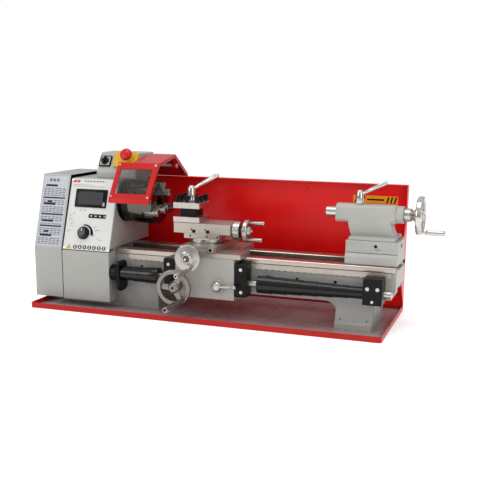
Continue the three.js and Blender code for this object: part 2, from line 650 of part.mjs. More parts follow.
function tailBody() {
  const neck = [[322, 237], [332, 204], [332, 199.3], [430, 199.3], [430, 204], [411, 237]];
  const web = prismY(neck, -26, 16);
  const corners = [[10, 10, 0], [-10, 10, 90], [-10, -10, 180], [10, -10, 270]];
  const round = corners.flatMap(([y, z, from]) => arc(AXIS.y + y, AXIS.z + z, 9.8, from, from + 90));
  const collar = turnX([[420, 0], [420, 19], [443, 19], [443, 0]], AXIS.y, AXIS.z, 24);
  const barrel = join(prismX(round, 293, 426), collar);
  const flare = box(330, 432, -50, 40, 199.3, 206);
  const bore = bar(turnX, 290, 424, AXIS.y, AXIS.z, 11.3, 20);
  const back = bar(turnX, 420, 445, AXIS.y, AXIS.z, 5.4, 12);
  const lock = bar(turnZ, 262, 280, 343, AXIS.y, 4.3, 10);
  return cut(join(web, barrel, flare), bore, back, lock);
}

function quill() {
  const profile = [[268, 6], [268, 9.5], [269.5, 11], [414, 11], [414, 5.6], [318, 5.6], [318, 6], [268, 6]];
  return turnX(profile, AXIS.y, AXIS.z, 20);
}

function tailScrew() {
  const shaft = bar(turnX, 325, 472, AXIS.y, AXIS.z, 5, 12);
  const dial = turnX([[443.3, 0], [443.3, 15], [458, 15], [462, 11], [462, 0]], AXIS.y, AXIS.z, 20);
  return join(shaft, dial);
}

function tailWheel() {
  const rim = turnX([[474, 33], [471, 36], [471, 40], [474, 42.5], [482, 42.5], [485, 40], [485, 36], [482, 33],
    [474, 33]], AXIS.y, AXIS.z, 24);
  const web = turnX([[463, 0], [463, 12], [469, 20], [474, 34], [480, 34], [477, 20], [482, 12], [482, 0]],
    AXIS.y, AXIS.z, 22);
  const hole = bar(turnX, 460, 490, AXIS.y, AXIS.z, 5.3, 12);
  const y = AXIS.y - 14;
  const z = AXIS.z - 34;
  const grip = join(rod([478, y, z], [495, y, z], 3.5, 3.5, 10), rod([492, y, z], [534, y, z], 5.2, 6.3, 12));
  return join(cut(join(rim, web), hole), grip);
}

function quillLever() {
  const hub = turnZ([[266, 0], [266, 4], [274.5, 4], [274.5, 9.5], [292, 9], [304, 6.5], [305, 0]], 343, AXIS.y, 16);
  const arm = join(rod([348, AXIS.y, 296], [398, AXIS.y, 322], 3.4, 5, 10), ball(398, AXIS.y, 322, 5.1));
  return join(hub, arm);
}

function tailClamp() {
  const plate = box(352, 408, -46, 36, 118, 133.6);
  return join(plate, bar(turnZ, 130, 197, 380, -5, 6, 12));
}

function tailstock(group) {
  add(group, 'tailstock_base', tailBase(), 'grey');
  add(group, 'tailstock_body', tailBody(), 'grey');
  add(group, 'tailstock_clamp', tailClamp(), 'dark');
  add(group, 'quill', quill(), 'chrome');
  add(group, 'quill_screw', tailScrew(), 'steel');
  add(group, 'tail_wheel', tailWheel(), 'chrome');
  add(group, 'quill_lever', quillLever(), 'chrome');
}

base(machine);
headstock(machine);
switches(machine);
chuckGuard(machine);
spindle(machine);
leadScrew(machine);
carriage(machine);
crossFeed(machine);
compound(machine);
tailstock(machine);

export default machine;
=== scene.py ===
import math

import bmesh
import bpy
from mathutils import Matrix, Vector


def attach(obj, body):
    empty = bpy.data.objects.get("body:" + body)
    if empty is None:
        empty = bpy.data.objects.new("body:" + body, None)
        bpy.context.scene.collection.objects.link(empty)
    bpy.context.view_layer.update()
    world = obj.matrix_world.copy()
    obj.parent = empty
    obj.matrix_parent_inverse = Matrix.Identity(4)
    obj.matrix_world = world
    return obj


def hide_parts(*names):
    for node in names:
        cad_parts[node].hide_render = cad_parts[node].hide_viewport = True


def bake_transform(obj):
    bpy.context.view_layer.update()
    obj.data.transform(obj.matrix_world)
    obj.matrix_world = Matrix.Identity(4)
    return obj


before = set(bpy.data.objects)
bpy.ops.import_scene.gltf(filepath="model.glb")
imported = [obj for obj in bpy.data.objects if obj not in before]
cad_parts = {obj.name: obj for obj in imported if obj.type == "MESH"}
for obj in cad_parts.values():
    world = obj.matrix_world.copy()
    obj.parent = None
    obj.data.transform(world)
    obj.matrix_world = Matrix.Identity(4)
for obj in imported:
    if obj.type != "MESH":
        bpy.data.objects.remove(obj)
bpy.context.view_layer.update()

scene = bpy.context.scene
MM = 0.001
TURN = 2 * math.pi

# ---- places of the machine, in millimetres --------------------------------
SPINDLE = (-5, 254)
SCREW = (-84, 90)
CROSS = (-14, 150)
WHEEL = (-49, 80)
POST = (-56, -20)
TOP_SCREW = (-32, 201)
KNOB = (-311, 42)
SWITCH = (-293, 30)
STOP = (-231, 40)
HALF_NUT_LEVER = (43, 82)


def slope(y, z, dy, dz):
    """The frame of a sloping face: local z runs up the slope and local y into it."""
    return Matrix.Translation((0, y * MM, z * MM)) @ Matrix.Rotation(-math.atan2(dy, dz), 4, "X")


PANEL = slope(-99.5, 141, 57, 167)
BOX_FACE = slope(-15, 322, 29, 47)
CHART_FACE = slope(-102, 142, 57, 174)
FLAT = Matrix.Identity(4)
RULE = (-0.2, -0.04)  # front and back of a printed line, in a sloping face's frame


# ---- finishes --------------------------------------------------------------
def srgb(r, g, b):
    def one(v):
        v /= 255
        return v / 12.92 if v <= 0.04045 else ((v + 0.055) / 1.055) ** 2.4
    return (one(r), one(g), one(b), 1.0)


def group(name, inputs, outputs):
    tree = bpy.data.node_groups.new(name, "ShaderNodeTree")
    for label, kind, value in inputs:
        socket = tree.interface.new_socket(label, in_out="INPUT", socket_type=kind)
        socket.default_value = value
    for label, kind in outputs:
        tree.interface.new_socket(label, in_out="OUTPUT", socket_type=kind)
    return tree, tree.nodes.new("NodeGroupInput"), tree.nodes.new("NodeGroupOutput")


def maths(tree, operation, a, b=None, clamp=False):
    node = tree.nodes.new("ShaderNodeMath")
    node.operation = operation
    node.use_clamp = clamp
    for i, value in enumerate((a, b)):
        if value is None:
            continue
        if isinstance(value, (int, float)):
            node.inputs[i].default_value = value
        else:
            tree.links.new(value, node.inputs[i])
    return node.outputs[0]


def noise(tree, vector, scale, detail=3.0, rough=0.55):
    node = tree.nodes.new("ShaderNodeTexNoise")
    node.inputs["Detail"].default_value = detail
    node.inputs["Roughness"].default_value = rough
    if isinstance(scale, (int, float)):
        node.inputs["Scale"].default_value = scale
    else:
        tree.links.new(scale, node.inputs["Scale"])
    tree.links.new(vector, node.inputs["Vector"])
    return node.outputs["Fac"]


def blend_colour(tree, factor, a, b):
    node = tree.nodes.new("ShaderNodeMix")
    node.data_type = "RGBA"
    for socket, value in ((node.inputs[0], factor), (node.inputs[6], a), (node.inputs[7], b)):
        if isinstance(value, (int, float, tuple)):
            socket.default_value = value
        else:
            tree.links.new(value, socket)
    return node.outputs[2]


def ramp(tree, value, low, high, out_low=0.0, out_high=1.0):
    node = tree.nodes.new("ShaderNodeMapRange")
    node.inputs["From Min"].default_value = low
    node.inputs["From Max"].default_value = high
    node.inputs["To Min"].default_value = out_low
    node.inputs["To Max"].default_value = out_high
    tree.links.new(value, node.inputs["Value"])
    return node.outputs["Result"]


def surface_texture():
    """Fine grain of cast or sprayed metal: a height of two sizes of bumps."""
    tree, given, out = group("surface_grain",
                             [("Vector", "NodeSocketVector", (0, 0, 0)),
                              ("Scale", "NodeSocketFloat", 400.0),
        ("Depth", "NodeSocketFloat", 1.0)], [("Height", "NodeSocketFloat")])
    fine = noise(tree, given.outputs["Vector"], given.outputs["Scale"], 4.0, 0.6)
    broad = noise(tree, given.outputs["Vector"], maths(tree, "MULTIPLY", given.outputs["Scale"], 0.12),
                  2.0, 0.5)
    total = maths(tree, "ADD", fine, maths(tree, "MULTIPLY", broad, 1.5))
    tree.links.new(maths(tree, "MULTIPLY", total, given.outputs["Depth"]), out.inputs["Height"])
    return tree


def tool_lines():
    """Marks that grinding or milling leaves, drawn out along one direction by the vector it is given."""
    tree, given, out = group("tool_lines", [("Vector", "NodeSocketVector", (0, 0, 0)),
                                            ("Depth", "NodeSocketFloat", 1.0)],
        [("Height", "NodeSocketFloat"), ("Streak", "NodeSocketFloat")])
    lines = noise(tree, given.outputs["Vector"], 1.0, 5.0, 0.65)
    tree.links.new(maths(tree, "MULTIPLY", lines, given.outputs["Depth"]), out.inputs["Height"])
    tree.links.new(ramp(tree, lines, 0.3, 0.7), out.inputs["Streak"])
    return tree


def shop_wear():
    """Uneven tone: cloudy patches, small specks and a film of dust and oil on faces that look up."""
    tree, given, out = group("shop_wear", [("Vector", "NodeSocketVector", (0, 0, 0)),
                                           ("Colour", "NodeSocketColor", (0.5, 0.5, 0.5, 1)),
        ("Film", "NodeSocketColor", (0.2, 0.18, 0.15, 1)), ("Cloud", "NodeSocketFloat", 0.1),
        ("Dust", "NodeSocketFloat", 0.1),
        ("Rough", "NodeSocketFloat", 0.4)], [("Colour", "NodeSocketColor"),
                                             ("Roughness", "NodeSocketFloat")])
    cloud = ramp(tree, noise(tree, given.outputs["Vector"], 14.0, 4.0, 0.6), 0.32, 0.68, -1.0, 1.0)
    speck = ramp(tree, noise(tree, given.outputs["Vector"], 260.0, 2.0, 0.5), 0.66, 0.74)
    shape = tree.nodes.new("ShaderNodeNewGeometry")
    parts = tree.nodes.new("ShaderNodeSeparateXYZ")
    tree.links.new(shape.outputs["Normal"], parts.inputs[0])
    up = ramp(tree, parts.outputs["Z"], 0.55, 1.0)
    patch = ramp(tree, noise(tree, given.outputs["Vector"], 32.0, 5.0, 0.7), 0.42, 0.66)
    settled = maths(tree, "MULTIPLY", maths(tree, "MULTIPLY", up, patch), given.outputs["Dust"])
    mask = maths(tree, "ADD", settled, maths(tree, "MULTIPLY", speck,
                                             maths(tree, "MULTIPLY", given.outputs["Dust"], 0.5)),
                                             clamp=True)
    lift = maths(tree, "ADD", maths(tree, "MULTIPLY", cloud, given.outputs["Cloud"]), 1.0)
    tinted = tree.nodes.new("ShaderNodeVectorMath")
    tinted.operation = "SCALE"
    tree.links.new(given.outputs["Colour"], tinted.inputs[0])
    tree.links.new(lift, tinted.inputs["Scale"])
    tree.links.new(blend_colour(tree, mask, tinted.outputs[0], given.outputs["Film"]), out.inputs["Colour"])
    rough = maths(tree, "ADD", given.outputs["Rough"],
                  maths(tree, "MULTIPLY", cloud, maths(tree, "MULTIPLY", given.outputs["Cloud"], 0.4)))
    tree.links.new(maths(tree, "ADD", rough, maths(tree, "MULTIPLY", mask, 0.25), clamp=True),
                   out.inputs["Roughness"])
    return tree


GRAIN = surface_texture()
LINES = tool_lines()
WEAR = shop_wear()


def use(tree, source, vector):
    node = tree.nodes.new("ShaderNodeGroup")
    node.node_tree = source
    tree.links.new(vector, node.inputs["Vector"])
    return node


def finish(name, colour, rough, metallic=0.0, coat=0.0, grain=None, lines=None, cloud=0.08, dust=0.06,
           film=(92, 84, 74), bump=0.2,
           specular=0.5):
    """grain = (scale, depth); lines = ((x, y, z) stretch of the marks, depth)."""
    look = bpy.data.materials.new(name)
    look.use_nodes = True
    tree = look.node_tree
    shader = tree.nodes["Principled BSDF"]
    place = tree.nodes.new("ShaderNodeTexCoord").outputs["Object"]
    wear = use(tree, WEAR, place)
    wear.inputs["Colour"].default_value = srgb(*colour)
    wear.inputs["Film"].default_value = srgb(*film)
    wear.inputs["Cloud"].default_value = cloud
    wear.inputs["Dust"].default_value = dust
    wear.inputs["Rough"].default_value = rough
    tree.links.new(wear.outputs["Colour"], shader.inputs["Base Color"])
    roughness = wear.outputs["Roughness"]
    heights = []
    if grain:
        node = use(tree, GRAIN, place)
        node.inputs["Scale"].default_value, node.inputs["Depth"].default_value = grain
        heights.append(node.outputs["Height"])
    if lines:
        stretch = tree.nodes.new("ShaderNodeMapping")
        stretch.inputs["Scale"].default_value = lines[0]
        tree.links.new(place, stretch.inputs["Vector"])
        node = use(tree, LINES, stretch.outputs[0])
        node.inputs["Depth"].default_value = lines[1]
        heights.append(node.outputs["Height"])
        roughness = maths(tree, "ADD", roughness,
                          maths(tree, "MULTIPLY", maths(tree, "SUBTRACT", node.outputs["Streak"], 0.5),
                                0.16), clamp=True)
    tree.links.new(roughness, shader.inputs["Roughness"])
    if heights:
        height = heights[0] if len(heights) == 1 else maths(tree, "ADD", heights[0], heights[1])
        relief = tree.nodes.new("ShaderNodeBump")
        relief.inputs["Strength"].default_value = bump
        relief.inputs["Distance"].default_value = 0.0006
        tree.links.new(height, relief.inputs["Height"])
        tree.links.new(relief.outputs[0], shader.inputs["Normal"])
    shader.inputs["Metallic"].default_value = metallic
    shader.inputs["Coat Weight"].default_value = coat
    shader.inputs["Coat Roughness"].default_value = 0.12
    shader.inputs["Specular IOR Level"].default_value = specular
    return look


# The splash guard's red: the same red paint as the chuck guard and tray rim, painted lighter here to make
# up for the shade it stands in behind the bed.
red_enamel = finish("red_enamel", (222, 13, 14), 0.34, coat=0.08, grain=(700, 0.5), cloud=0.07, dust=0.04,
                    film=(140, 50, 44), bump=0.1, specular=0.22)
# The chuck guard's red: the same red paint, painted darker to offset the strong front lamps on its front
# faces.
red_guard_painted_shade = finish("guard_red_painted_shade", (178, 14, 13), 0.32, coat=0.08, grain=(700, 0.5), cloud=0.06,
                   dust=0.04, film=(140, 54, 46), bump=0.1, specular=0.22)
# The tray rim's red: the same red paint, painted darker to offset the strong front lamps on its front
# faces.
tray_red_painted_shade = finish("tray_rim_red_painted_shade", (168, 24, 18), 0.36, coat=0.05, grain=(600, 0.6), cloud=0.08, dust=0.05,
                  film=(130, 60, 50), bump=0.1, specular=0.2)
tray_floor_grey = finish("tray_floor_grey", (150, 133, 134), 0.28, coat=0.12, grain=(300, 0.4), cloud=0.1,
                         dust=0.03, film=(140, 124, 120), bump=0.08, specular=0.35)
grey_enamel = finish("grey_cast_enamel", (162, 161, 156), 0.42, coat=0.08, grain=(420, 1.0), cloud=0.06,
                     dust=0.06, bump=0.28, specular=0.4)
grey_sheet = finish("grey_sheet_enamel", (158, 158, 153), 0.4, coat=0.08, grain=(900, 0.6), cloud=0.04,
                    dust=0.04, bump=0.14, specular=0.4)
apron_grey = finish("apron_enamel", (158, 154, 148), 0.38, coat=0.12, grain=(420, 1.0), cloud=0.07,
                    dust=0.06, bump=0.24, specular=0.4)
panel_white = finish("panel_white", (198, 198, 195), 0.42, grain=(1200, 0.4), cloud=0.02, dust=0.02,
                     film=(170, 170, 166), bump=0.06, specular=0.3)
chart_paper = finish("chart_foil", (172, 175, 181), 0.38, grain=(900, 0.3), cloud=0.03, dust=0.02,
                     film=(160, 164, 170), bump=0.05, specular=0.3)
chart_grey = finish("chart_print_grey", (100, 104, 113), 0.45, cloud=0.05, dust=0.0, specular=0.2)
chart_ink = finish("chart_print_dark", (26, 31, 42), 0.45, cloud=0.05, dust=0.0, specular=0.15)
white_print = finish("white_print", (214, 214, 210), 0.5, cloud=0.03, dust=0.02)
yellow_print = finish("yellow_print", (206, 172, 26), 0.45, cloud=0.05, dust=0.02, specular=0.2)
amber_print = finish("amber_print", (226, 140, 18), 0.45, cloud=0.05, dust=0.02, specular=0.2)
black_print = finish("black_print", (14, 14, 16), 0.45, cloud=0.05, dust=0.0, specular=0.15)
black_plastic = finish("black_moulding", (8, 8, 9), 0.36, coat=0.03, grain=(800, 0.8), cloud=0.1,
                       dust=0.05, film=(40, 38, 36), bump=0.2, specular=0.15)
black_gloss = finish("black_gloss", (4, 5, 5), 0.2, coat=0.45, grain=(400, 0.3), cloud=0.06, dust=0.03,
                     film=(30, 30, 29), bump=0.06, specular=0.14)
black_iron = finish("black_iron", (16, 15, 16), 0.36, 0.2, grain=(500, 0.9), cloud=0.12, dust=0.06,
                    bump=0.25, specular=0.2)
screw_black = finish("black_oxide_screw", (10, 10, 11), 0.3, 0.3, grain=(900, 0.4), cloud=0.1, dust=0.03,
                     bump=0.1, specular=0.25)
screw_steel = finish("zinc_screw", (196, 192, 186), 0.3, 1.0, grain=(900, 0.4), cloud=0.06, dust=0.04,
                     bump=0.1)
ways_steel = finish("ground_ways", (178, 166, 158), 0.27, 0.9, lines=((14, 900, 900), 1.0), cloud=0.08,
                    dust=0.1, film=(96, 80, 70), bump=0.14)
iron_long = finish("milled_iron", (176, 168, 158), 0.36, 0.75, lines=((30, 700, 700), 1.0), cloud=0.09,
                   dust=0.1, film=(100, 88, 76), bump=0.16)
iron_cross = finish("milled_iron_across", (172, 164, 154), 0.36, 0.75, lines=((700, 30, 700), 1.0),
                    cloud=0.09, dust=0.1, film=(100, 88, 76), bump=0.16)
post_steel = finish("ground_post_steel", (186, 180, 174), 0.26, 0.95, lines=((500, 500, 40), 1.0),
                    cloud=0.07, dust=0.07, film=(90, 80, 72), bump=0.12)
ground_steel = finish("ground_steel", (186, 182, 177), 0.26, 1.0, lines=((900, 60, 60), 1.0), cloud=0.06,
                      dust=0.05, bump=0.1)
chuck_steel = finish("polished_chuck", (92, 87, 82), 0.16, 1.0, lines=((900, 40, 40), 0.8), cloud=0.06,
                     dust=0.04, bump=0.06)
jaw_steel = finish("hardened_jaw", (158, 154, 148), 0.22, 0.95, lines=((300, 300, 300), 0.6), cloud=0.08,
                   dust=0.05, bump=0.1)
chrome = finish("bright_chrome", (198, 194, 190), 0.1, 1.0, grain=(600, 0.2), cloud=0.05, dust=0.03,
                bump=0.03)
satin_alu = finish("turned_aluminium", (172, 167, 163), 0.26, 0.95, grain=(700, 0.4), cloud=0.06,
                   dust=0.06, film=(100, 94, 88), bump=0.08)
wheel_alu = finish("cast_aluminium_wheel", (132, 126, 121), 0.3, 0.9, lines=((60, 900, 60), 0.6),
                   cloud=0.1, dust=0.1, film=(80, 74, 68), bump=0.1)
dark_steel = finish("dark_steel", (24, 24, 25), 0.34, 0.3, lines=((300, 300, 300), 0.5), cloud=0.12,
                    dust=0.06, bump=0.14, specular=0.25)
gear_steel = finish("gear_steel", (150, 146, 140), 0.32, 0.9, lines=((700, 80, 80), 1.0), cloud=0.08,
                    dust=0.08, bump=0.12)
bronze = finish("bronze", (98, 74, 44), 0.34, 0.9, grain=(500, 0.5), cloud=0.1, dust=0.06, bump=0.1)
motor_paint = finish("motor_paint", (60, 62, 64), 0.45, grain=(500, 1.0), cloud=0.08, dust=0.1, bump=0.2)
yellow_plastic = finish("yellow_moulding", (206, 158, 22), 0.42, coat=0.05, grain=(900, 0.5), cloud=0.05,
                        dust=0.04, film=(150, 120, 40), bump=0.1, specular=0.3)
red_plastic = finish("red_button", (182, 14, 14), 0.28, coat=0.12, grain=(900, 0.4), cloud=0.05, dust=0.03,
                     bump=0.06, specular=0.25)
screen_black = finish("screen_black", (9, 10, 11), 0.2, coat=0.1, grain=(300, 0.2), cloud=0.08, dust=0.03,
                      bump=0.03, specular=0.15)
screen_grey = finish("screen_grey", (24, 27, 30), 0.24, coat=0.08, grain=(300, 0.2), cloud=0.1, dust=0.03,
                     bump=0.03, specular=0.15)
belt_rubber = finish("belt_rubber", (24, 24, 25), 0.6, grain=(700, 1.0), cloud=0.1, dust=0.15, bump=0.25)
lamp_blue = finish("print_blue", (26, 36, 54), 0.4, cloud=0.05, dust=0.0, specular=0.15)


def clear_sheet():
    """Smoke-tinted clear plastic, with light scratches in its gloss."""
    look = finish("guard_window", (96, 96, 92), 0.06, grain=(260, 0.3), cloud=0.05, dust=0.0, bump=0.03)
    shader = look.node_tree.nodes["Principled BSDF"]
    shader.inputs["Transmission Weight"].default_value = 0.6
    shader.inputs["IOR"].default_value = 1.2
    shader.inputs["Alpha"].default_value = 0.32
    return look


window_sheet = clear_sheet()


# ---- solids ----------------------------------------------------------------
def ease(bm, edges, width, steps=2):
    if width:
        bmesh.ops.bevel(bm, geom=list(edges), offset=width * MM, offset_type="OFFSET", segments=steps,
                        profile=0.5, affect="EDGES",
                        material=-1, clamp_overlap=True)


def block(bm, x, y, z, soft=0.0, place=FLAT, steps=2):
    made = bmesh.ops.create_cube(bm, size=1.0)["verts"]
    for v in made:
        v.co = Vector((x[0] if v.co.x < 0 else x[1], y[0] if v.co.y < 0 else y[1], z[0]
                       if v.co.z < 0 else z[1])) * MM
    bmesh.ops.transform(bm, matrix=place, verts=made)
    if soft:
        ease(bm, {e for v in made for e in v.link_edges}, soft, steps)


def eased(profile, width):
    """The profile with its corners rounded off by about width."""
    out = []
    count = len(profile)
    ring = profile[0] == profile[-1]
    for i, p in enumerate(profile):
        if (i in (0, count - 1)) and not ring:
            out.append(p)
            continue
        if i == count - 1:
            out.append(out[0])
            break
        a = Vector(profile[i - 1] if i else profile[-2])
        c = Vector(profile[i + 1])
        b = Vector(p)
        reach_a, reach_c = min(width, (a - b).length * 0.4), min(width, (c - b).length * 0.4)
        if (b - a).length < 1e-6 or (c - b).length < 1e-6 or (b - a).angle(c - b) < 0.25:
            out.append(tuple(b))
            continue
        start, end = b + (a - b).normalized() * reach_a, b + (c - b).normalized() * reach_c
        for t in (0.0, 0.35, 0.65, 1.0):
            out.append(tuple((1 - t) ** 2 * start + 2 * t * (1 - t) * b + t * t * end))
    return out


AXES = {"X": Vector((1, 0, 0)), "Y": Vector((0, 1, 0)), "Z": Vector((0, 0, 1))}


def turned(bm, axis, centre, profile, soft=0.5, steps=64, place=FLAT):
    """A turned piece. The profile runs (distance along the axis, radius), and centre is the other
    two coordinates."""
    u, v = centre
    spots = {"X": lambda h, r: (h, u, v + r), "Y": lambda h, r: (u, h, v + r),
             "Z": lambda h, r: (u + r, v, h)}[axis]
    hub = {"X": (0, u, v), "Y": (u, 0, v), "Z": (u, v, 0)}[axis]
    points = eased(profile, soft) if soft else profile
    verts = []
    for h, r in points:
        p = Vector(spots(h, r)) * MM
        if not verts or (verts[-1].co - p).length > 1e-7:
            verts.append(bm.verts.new(p))
    if (verts[0].co - verts[-1].co).length < 1e-7:
        bm.verts.remove(verts.pop())
        verts.append(verts[0])
    edges = [bm.edges.new((a, b)) for a, b in zip(verts, verts[1:])]
    loop = list(dict.fromkeys(verts))
    before = set(bm.verts) - set(loop)
    bmesh.ops.spin(bm, geom=loop + edges, cent=Vector(hub) * MM, axis=AXES[axis], angle=TURN, steps=steps,
                   use_merge=True)
    fresh = [w for w in bm.verts if w not in before]
    bmesh.ops.remove_doubles(bm, verts=fresh, dist=2e-6)
    if place is not FLAT:
        bmesh.ops.transform(bm, matrix=place, verts=[w for w in bm.verts if w not in before])


def round_bar(bm, start, end, r0, r1=None, soft=0.6, steps=32, place=FLAT):
    """A round bar between two points, whose ends are rounded over."""
    a, b = Vector(start) * MM, Vector(end) * MM
    r1 = r0 if r1 is None else r1
    turn = (b - a).to_track_quat("Z", "Y").to_matrix().to_4x4()
    made = bmesh.ops.create_cone(bm, cap_ends=True, cap_tris=False, segments=steps, radius1=r0 * MM,
                                 radius2=r1 * MM, depth=(b - a).length,
                                 matrix=place @ Matrix.Translation((a + b) / 2) @ turn)["verts"]
    if soft:
        rims = {e for w in made for e in w.link_edges if len(e.link_faces) == 2
                and any(len(f.verts) > 4 for f in e.link_faces)}
        ease(bm, rims, soft, 3)


def ball(bm, centre, r, squeeze=(1, 1, 1), steps=24):
    bmesh.ops.create_uvsphere(bm, u_segments=steps, v_segments=steps // 2, radius=r * MM,
                              matrix=Matrix.Translation(Vector(centre) * MM) @ Matrix.Diagonal((*squeeze,
                                      1)))


def sweep(bm, outline, axis, a, b, soft=0.0, steps=2, place=FLAT, corner=0.5):
    """An outline swept straight along an axis from a to b. soft rounds every edge that is sharper than
    corner radians."""
    spots = {"X": lambda p, h: (h, p[0], p[1]), "Y": lambda p, h: (p[0], h, p[1]),
             "Z": lambda p, h: (p[0], p[1], h)}[axis]
    before = set(bm.verts)
    face = bm.faces.new([bm.verts.new(Vector(spots(p, a)) * MM) for p in outline])
    made = bmesh.ops.extrude_face_region(bm, geom=[face])["geom"]
    bmesh.ops.translate(bm, vec=AXES[axis] * ((b - a) * MM),
                        verts=[g for g in made if isinstance(g, bmesh.types.BMVert)])
    fresh = [w for w in bm.verts if w not in before]
    bmesh.ops.transform(bm, matrix=place, verts=fresh)
    faces = {f for w in fresh for f in w.link_faces}
    bmesh.ops.recalc_face_normals(bm, faces=list(faces))
    if soft:
        edges = {e for f in faces for e in f.edges if len(e.link_faces) == 2
                 and e.calc_face_angle(0.0) > corner}
        ease(bm, edges, soft, steps)


def rounded(x0, x1, z0, z1, r, steps=6):
    points = []
    for cx, cz, turn in ((x1 - r, z0 + r, -0.25), (x1 - r, z1 - r, 0), (x0 + r, z1 - r, 0.25),
                         (x0 + r, z0 + r, 0.5)):
        for i in range(steps + 1):
            angle = (turn + 0.25 * i / steps) * TURN
            points.append((cx + r * math.cos(angle), cz + r * math.sin(angle)))
    return points


def offset_line(points, depth):
    """A bent line moved sideways by depth, mitred at its bends."""
    out = []
    for i, p in enumerate(points):
        u = Vector(p) - Vector(points[i - 1]) if i else Vector(points[1]) - Vector(p)
        v = Vector(points[i + 1]) - Vector(p) if i < len(points) - 1 else u
        a, b = u.normalized(), v.normalized()
        side = (Vector((a.y, -a.x)) + Vector((b.y, -b.x))).normalized()
        out.append(tuple(Vector(p) + side * depth / side.dot(Vector((a.y, -a.x)))))
    return out


def aim(at, towards):
    """The frame of a screw whose head looks along towards, seated at a point given in millimetres."""
    turn = Vector(towards).to_track_quat("Z", "Y").to_matrix().to_4x4()
    return Matrix.Translation(Vector(at) * MM) @ turn


def about(centre, angle):
    """A turn by angle about the axis along X through centre, given as (y, z)."""
    return Matrix.Translation((0, centre[0] * MM, centre[1] * MM)) @ Matrix.Rotation(angle, 4, "X")


def socket_screw(bm, seat, r, high, bore=0.5, sides=16):
    """A cap screw: a low round head with a sunk socket."""
    made = bmesh.ops.create_cone(bm, cap_ends=True, cap_tris=False, segments=sides, radius1=r * MM,
                                 radius2=r * MM, depth=high * MM,
                                 matrix=seat @ Matrix.Translation((0, 0, high * MM / 2)))["verts"]
    out = (seat.to_3x3() @ Vector((0, 0, 1))).normalized()
    caps = {f for w in made for f in w.link_faces if len(f.verts) > 4}
    top = max(caps, key=lambda f: f.calc_center_median().dot(out))
    bmesh.ops.inset_region(bm, faces=[top], thickness=r * (1 - bore) * MM, depth=0.0)
    walls = bmesh.ops.extrude_face_region(bm, geom=[top])["geom"]
    bmesh.ops.delete(bm, geom=[top], context="FACES_ONLY")
    bmesh.ops.translate(bm, vec=-out * high * 0.6 * MM,
                        verts=[g for g in walls if isinstance(g, bmesh.types.BMVert)])


def screws(name, look, body, seats, r, high, bore=0.5):
    """Cap screws of one size on the given seats, as one piece."""
    bm = bmesh.new()
    for seat in seats:
        socket_screw(bm, seat, r, high, bore)
    piece(name, bm, look, body)


def piece(name, bm, look, body, stands_for=(), flat_above=0.6):
    bmesh.ops.remove_doubles(bm, verts=bm.verts, dist=1e-6)
    bmesh.ops.recalc_face_normals(bm, faces=bm.faces)
    for f in bm.faces:
        f.smooth = True
    for e in bm.edges:
        e.smooth = not (len(e.link_faces) == 2 and e.calc_face_angle(0.0) > flat_above)
    mesh = bpy.data.meshes.new(name)
    bm.to_mesh(mesh)
    bm.free()
    obj = bpy.data.objects.new(name, mesh)
    scene.collection.objects.link(obj)
    for one in (look if isinstance(look, (list, tuple)) else [look]):
        mesh.materials.append(one)
    if body:
        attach(obj, body)
    if stands_for:
        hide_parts(*stands_for)
    return obj


def dress(look, *names, soft=0.8, steps=2):
    """A finish and softened edges for pieces whose shape is already right."""
    for name in names:
        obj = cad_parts[name]
        if obj.material_slots:
            for s in obj.material_slots:
                s.material = look
        else:
            obj.data.materials.append(look)
        if soft:
            weld = obj.modifiers.new("weld", "WELD")
            weld.merge_threshold = 5e-6
            flatten = obj.modifiers.new("flatten", "DECIMATE")
            flatten.decimate_type = "DISSOLVE"
            flatten.angle_limit = math.radians(0.6)
            edge = obj.modifiers.new("edge", "BEVEL")
            edge.width = soft * MM
            edge.segments = steps
            edge.limit_method = "ANGLE"
            edge.angle_limit = math.radians(34)
            edge.use_clamp_overlap = True


def carved(name, bm, tools, look, body, stands_for=(), flat_above=0.6, soft=0.0):
    """A piece with shapes cut out of it."""
    obj = piece(name, bm, look, None, flat_above=flat_above)
    cutter = piece(name + "_tool", tools, look, None)
    cut = obj.modifiers.new("cut", "BOOLEAN")
    cut.operation = "DIFFERENCE"
    cut.solver = "EXACT"
    cut.object = cutter
    bpy.context.view_layer.update()
    mesh = bpy.data.meshes.new_from_object(obj.evaluated_get(bpy.context.evaluated_depsgraph_get()))
    bpy.data.objects.remove(obj)
    bpy.data.objects.remove(cutter)
    shaped = bmesh.new()
    shaped.from_mesh(mesh)
    if soft:
        edges = [e for e in shaped.edges if len(e.link_faces) == 2 and e.calc_face_angle(0.0) > 0.6]
        ease(shaped, edges, soft, 1)
    return piece(name, shaped, look, body, stands_for, flat_above)


# ---- camera, floor and light -------------------------------------------------
def stand_camera():
    yaw, pitch, roll = math.radians(19.48), math.radians(12.42), math.radians(0.41)
    ahead = Vector((-math.sin(yaw) * math.cos(pitch), math.cos(yaw) * math.cos(pitch), -math.sin(pitch)))
    right = Vector((math.cos(yaw), math.sin(yaw), 0))
    up = right.cross(ahead)
    x = right * math.cos(roll) + up * math.sin(roll)
    y = -right * math.sin(roll) + up * math.cos(roll)
    turn = Matrix((x, y, -ahead)).transposed().to_4x4()
    data = bpy.data.cameras.new("camera")
    data.lens, data.sensor_width, data.shift_y = 61.65, 36.0, 0.0833
    camera = bpy.data.objects.new("camera", data)
    camera.matrix_world = Matrix.Translation((0.701, -1.812, 0.500)) @ turn
    scene.collection.objects.link(camera)
    scene.camera = camera


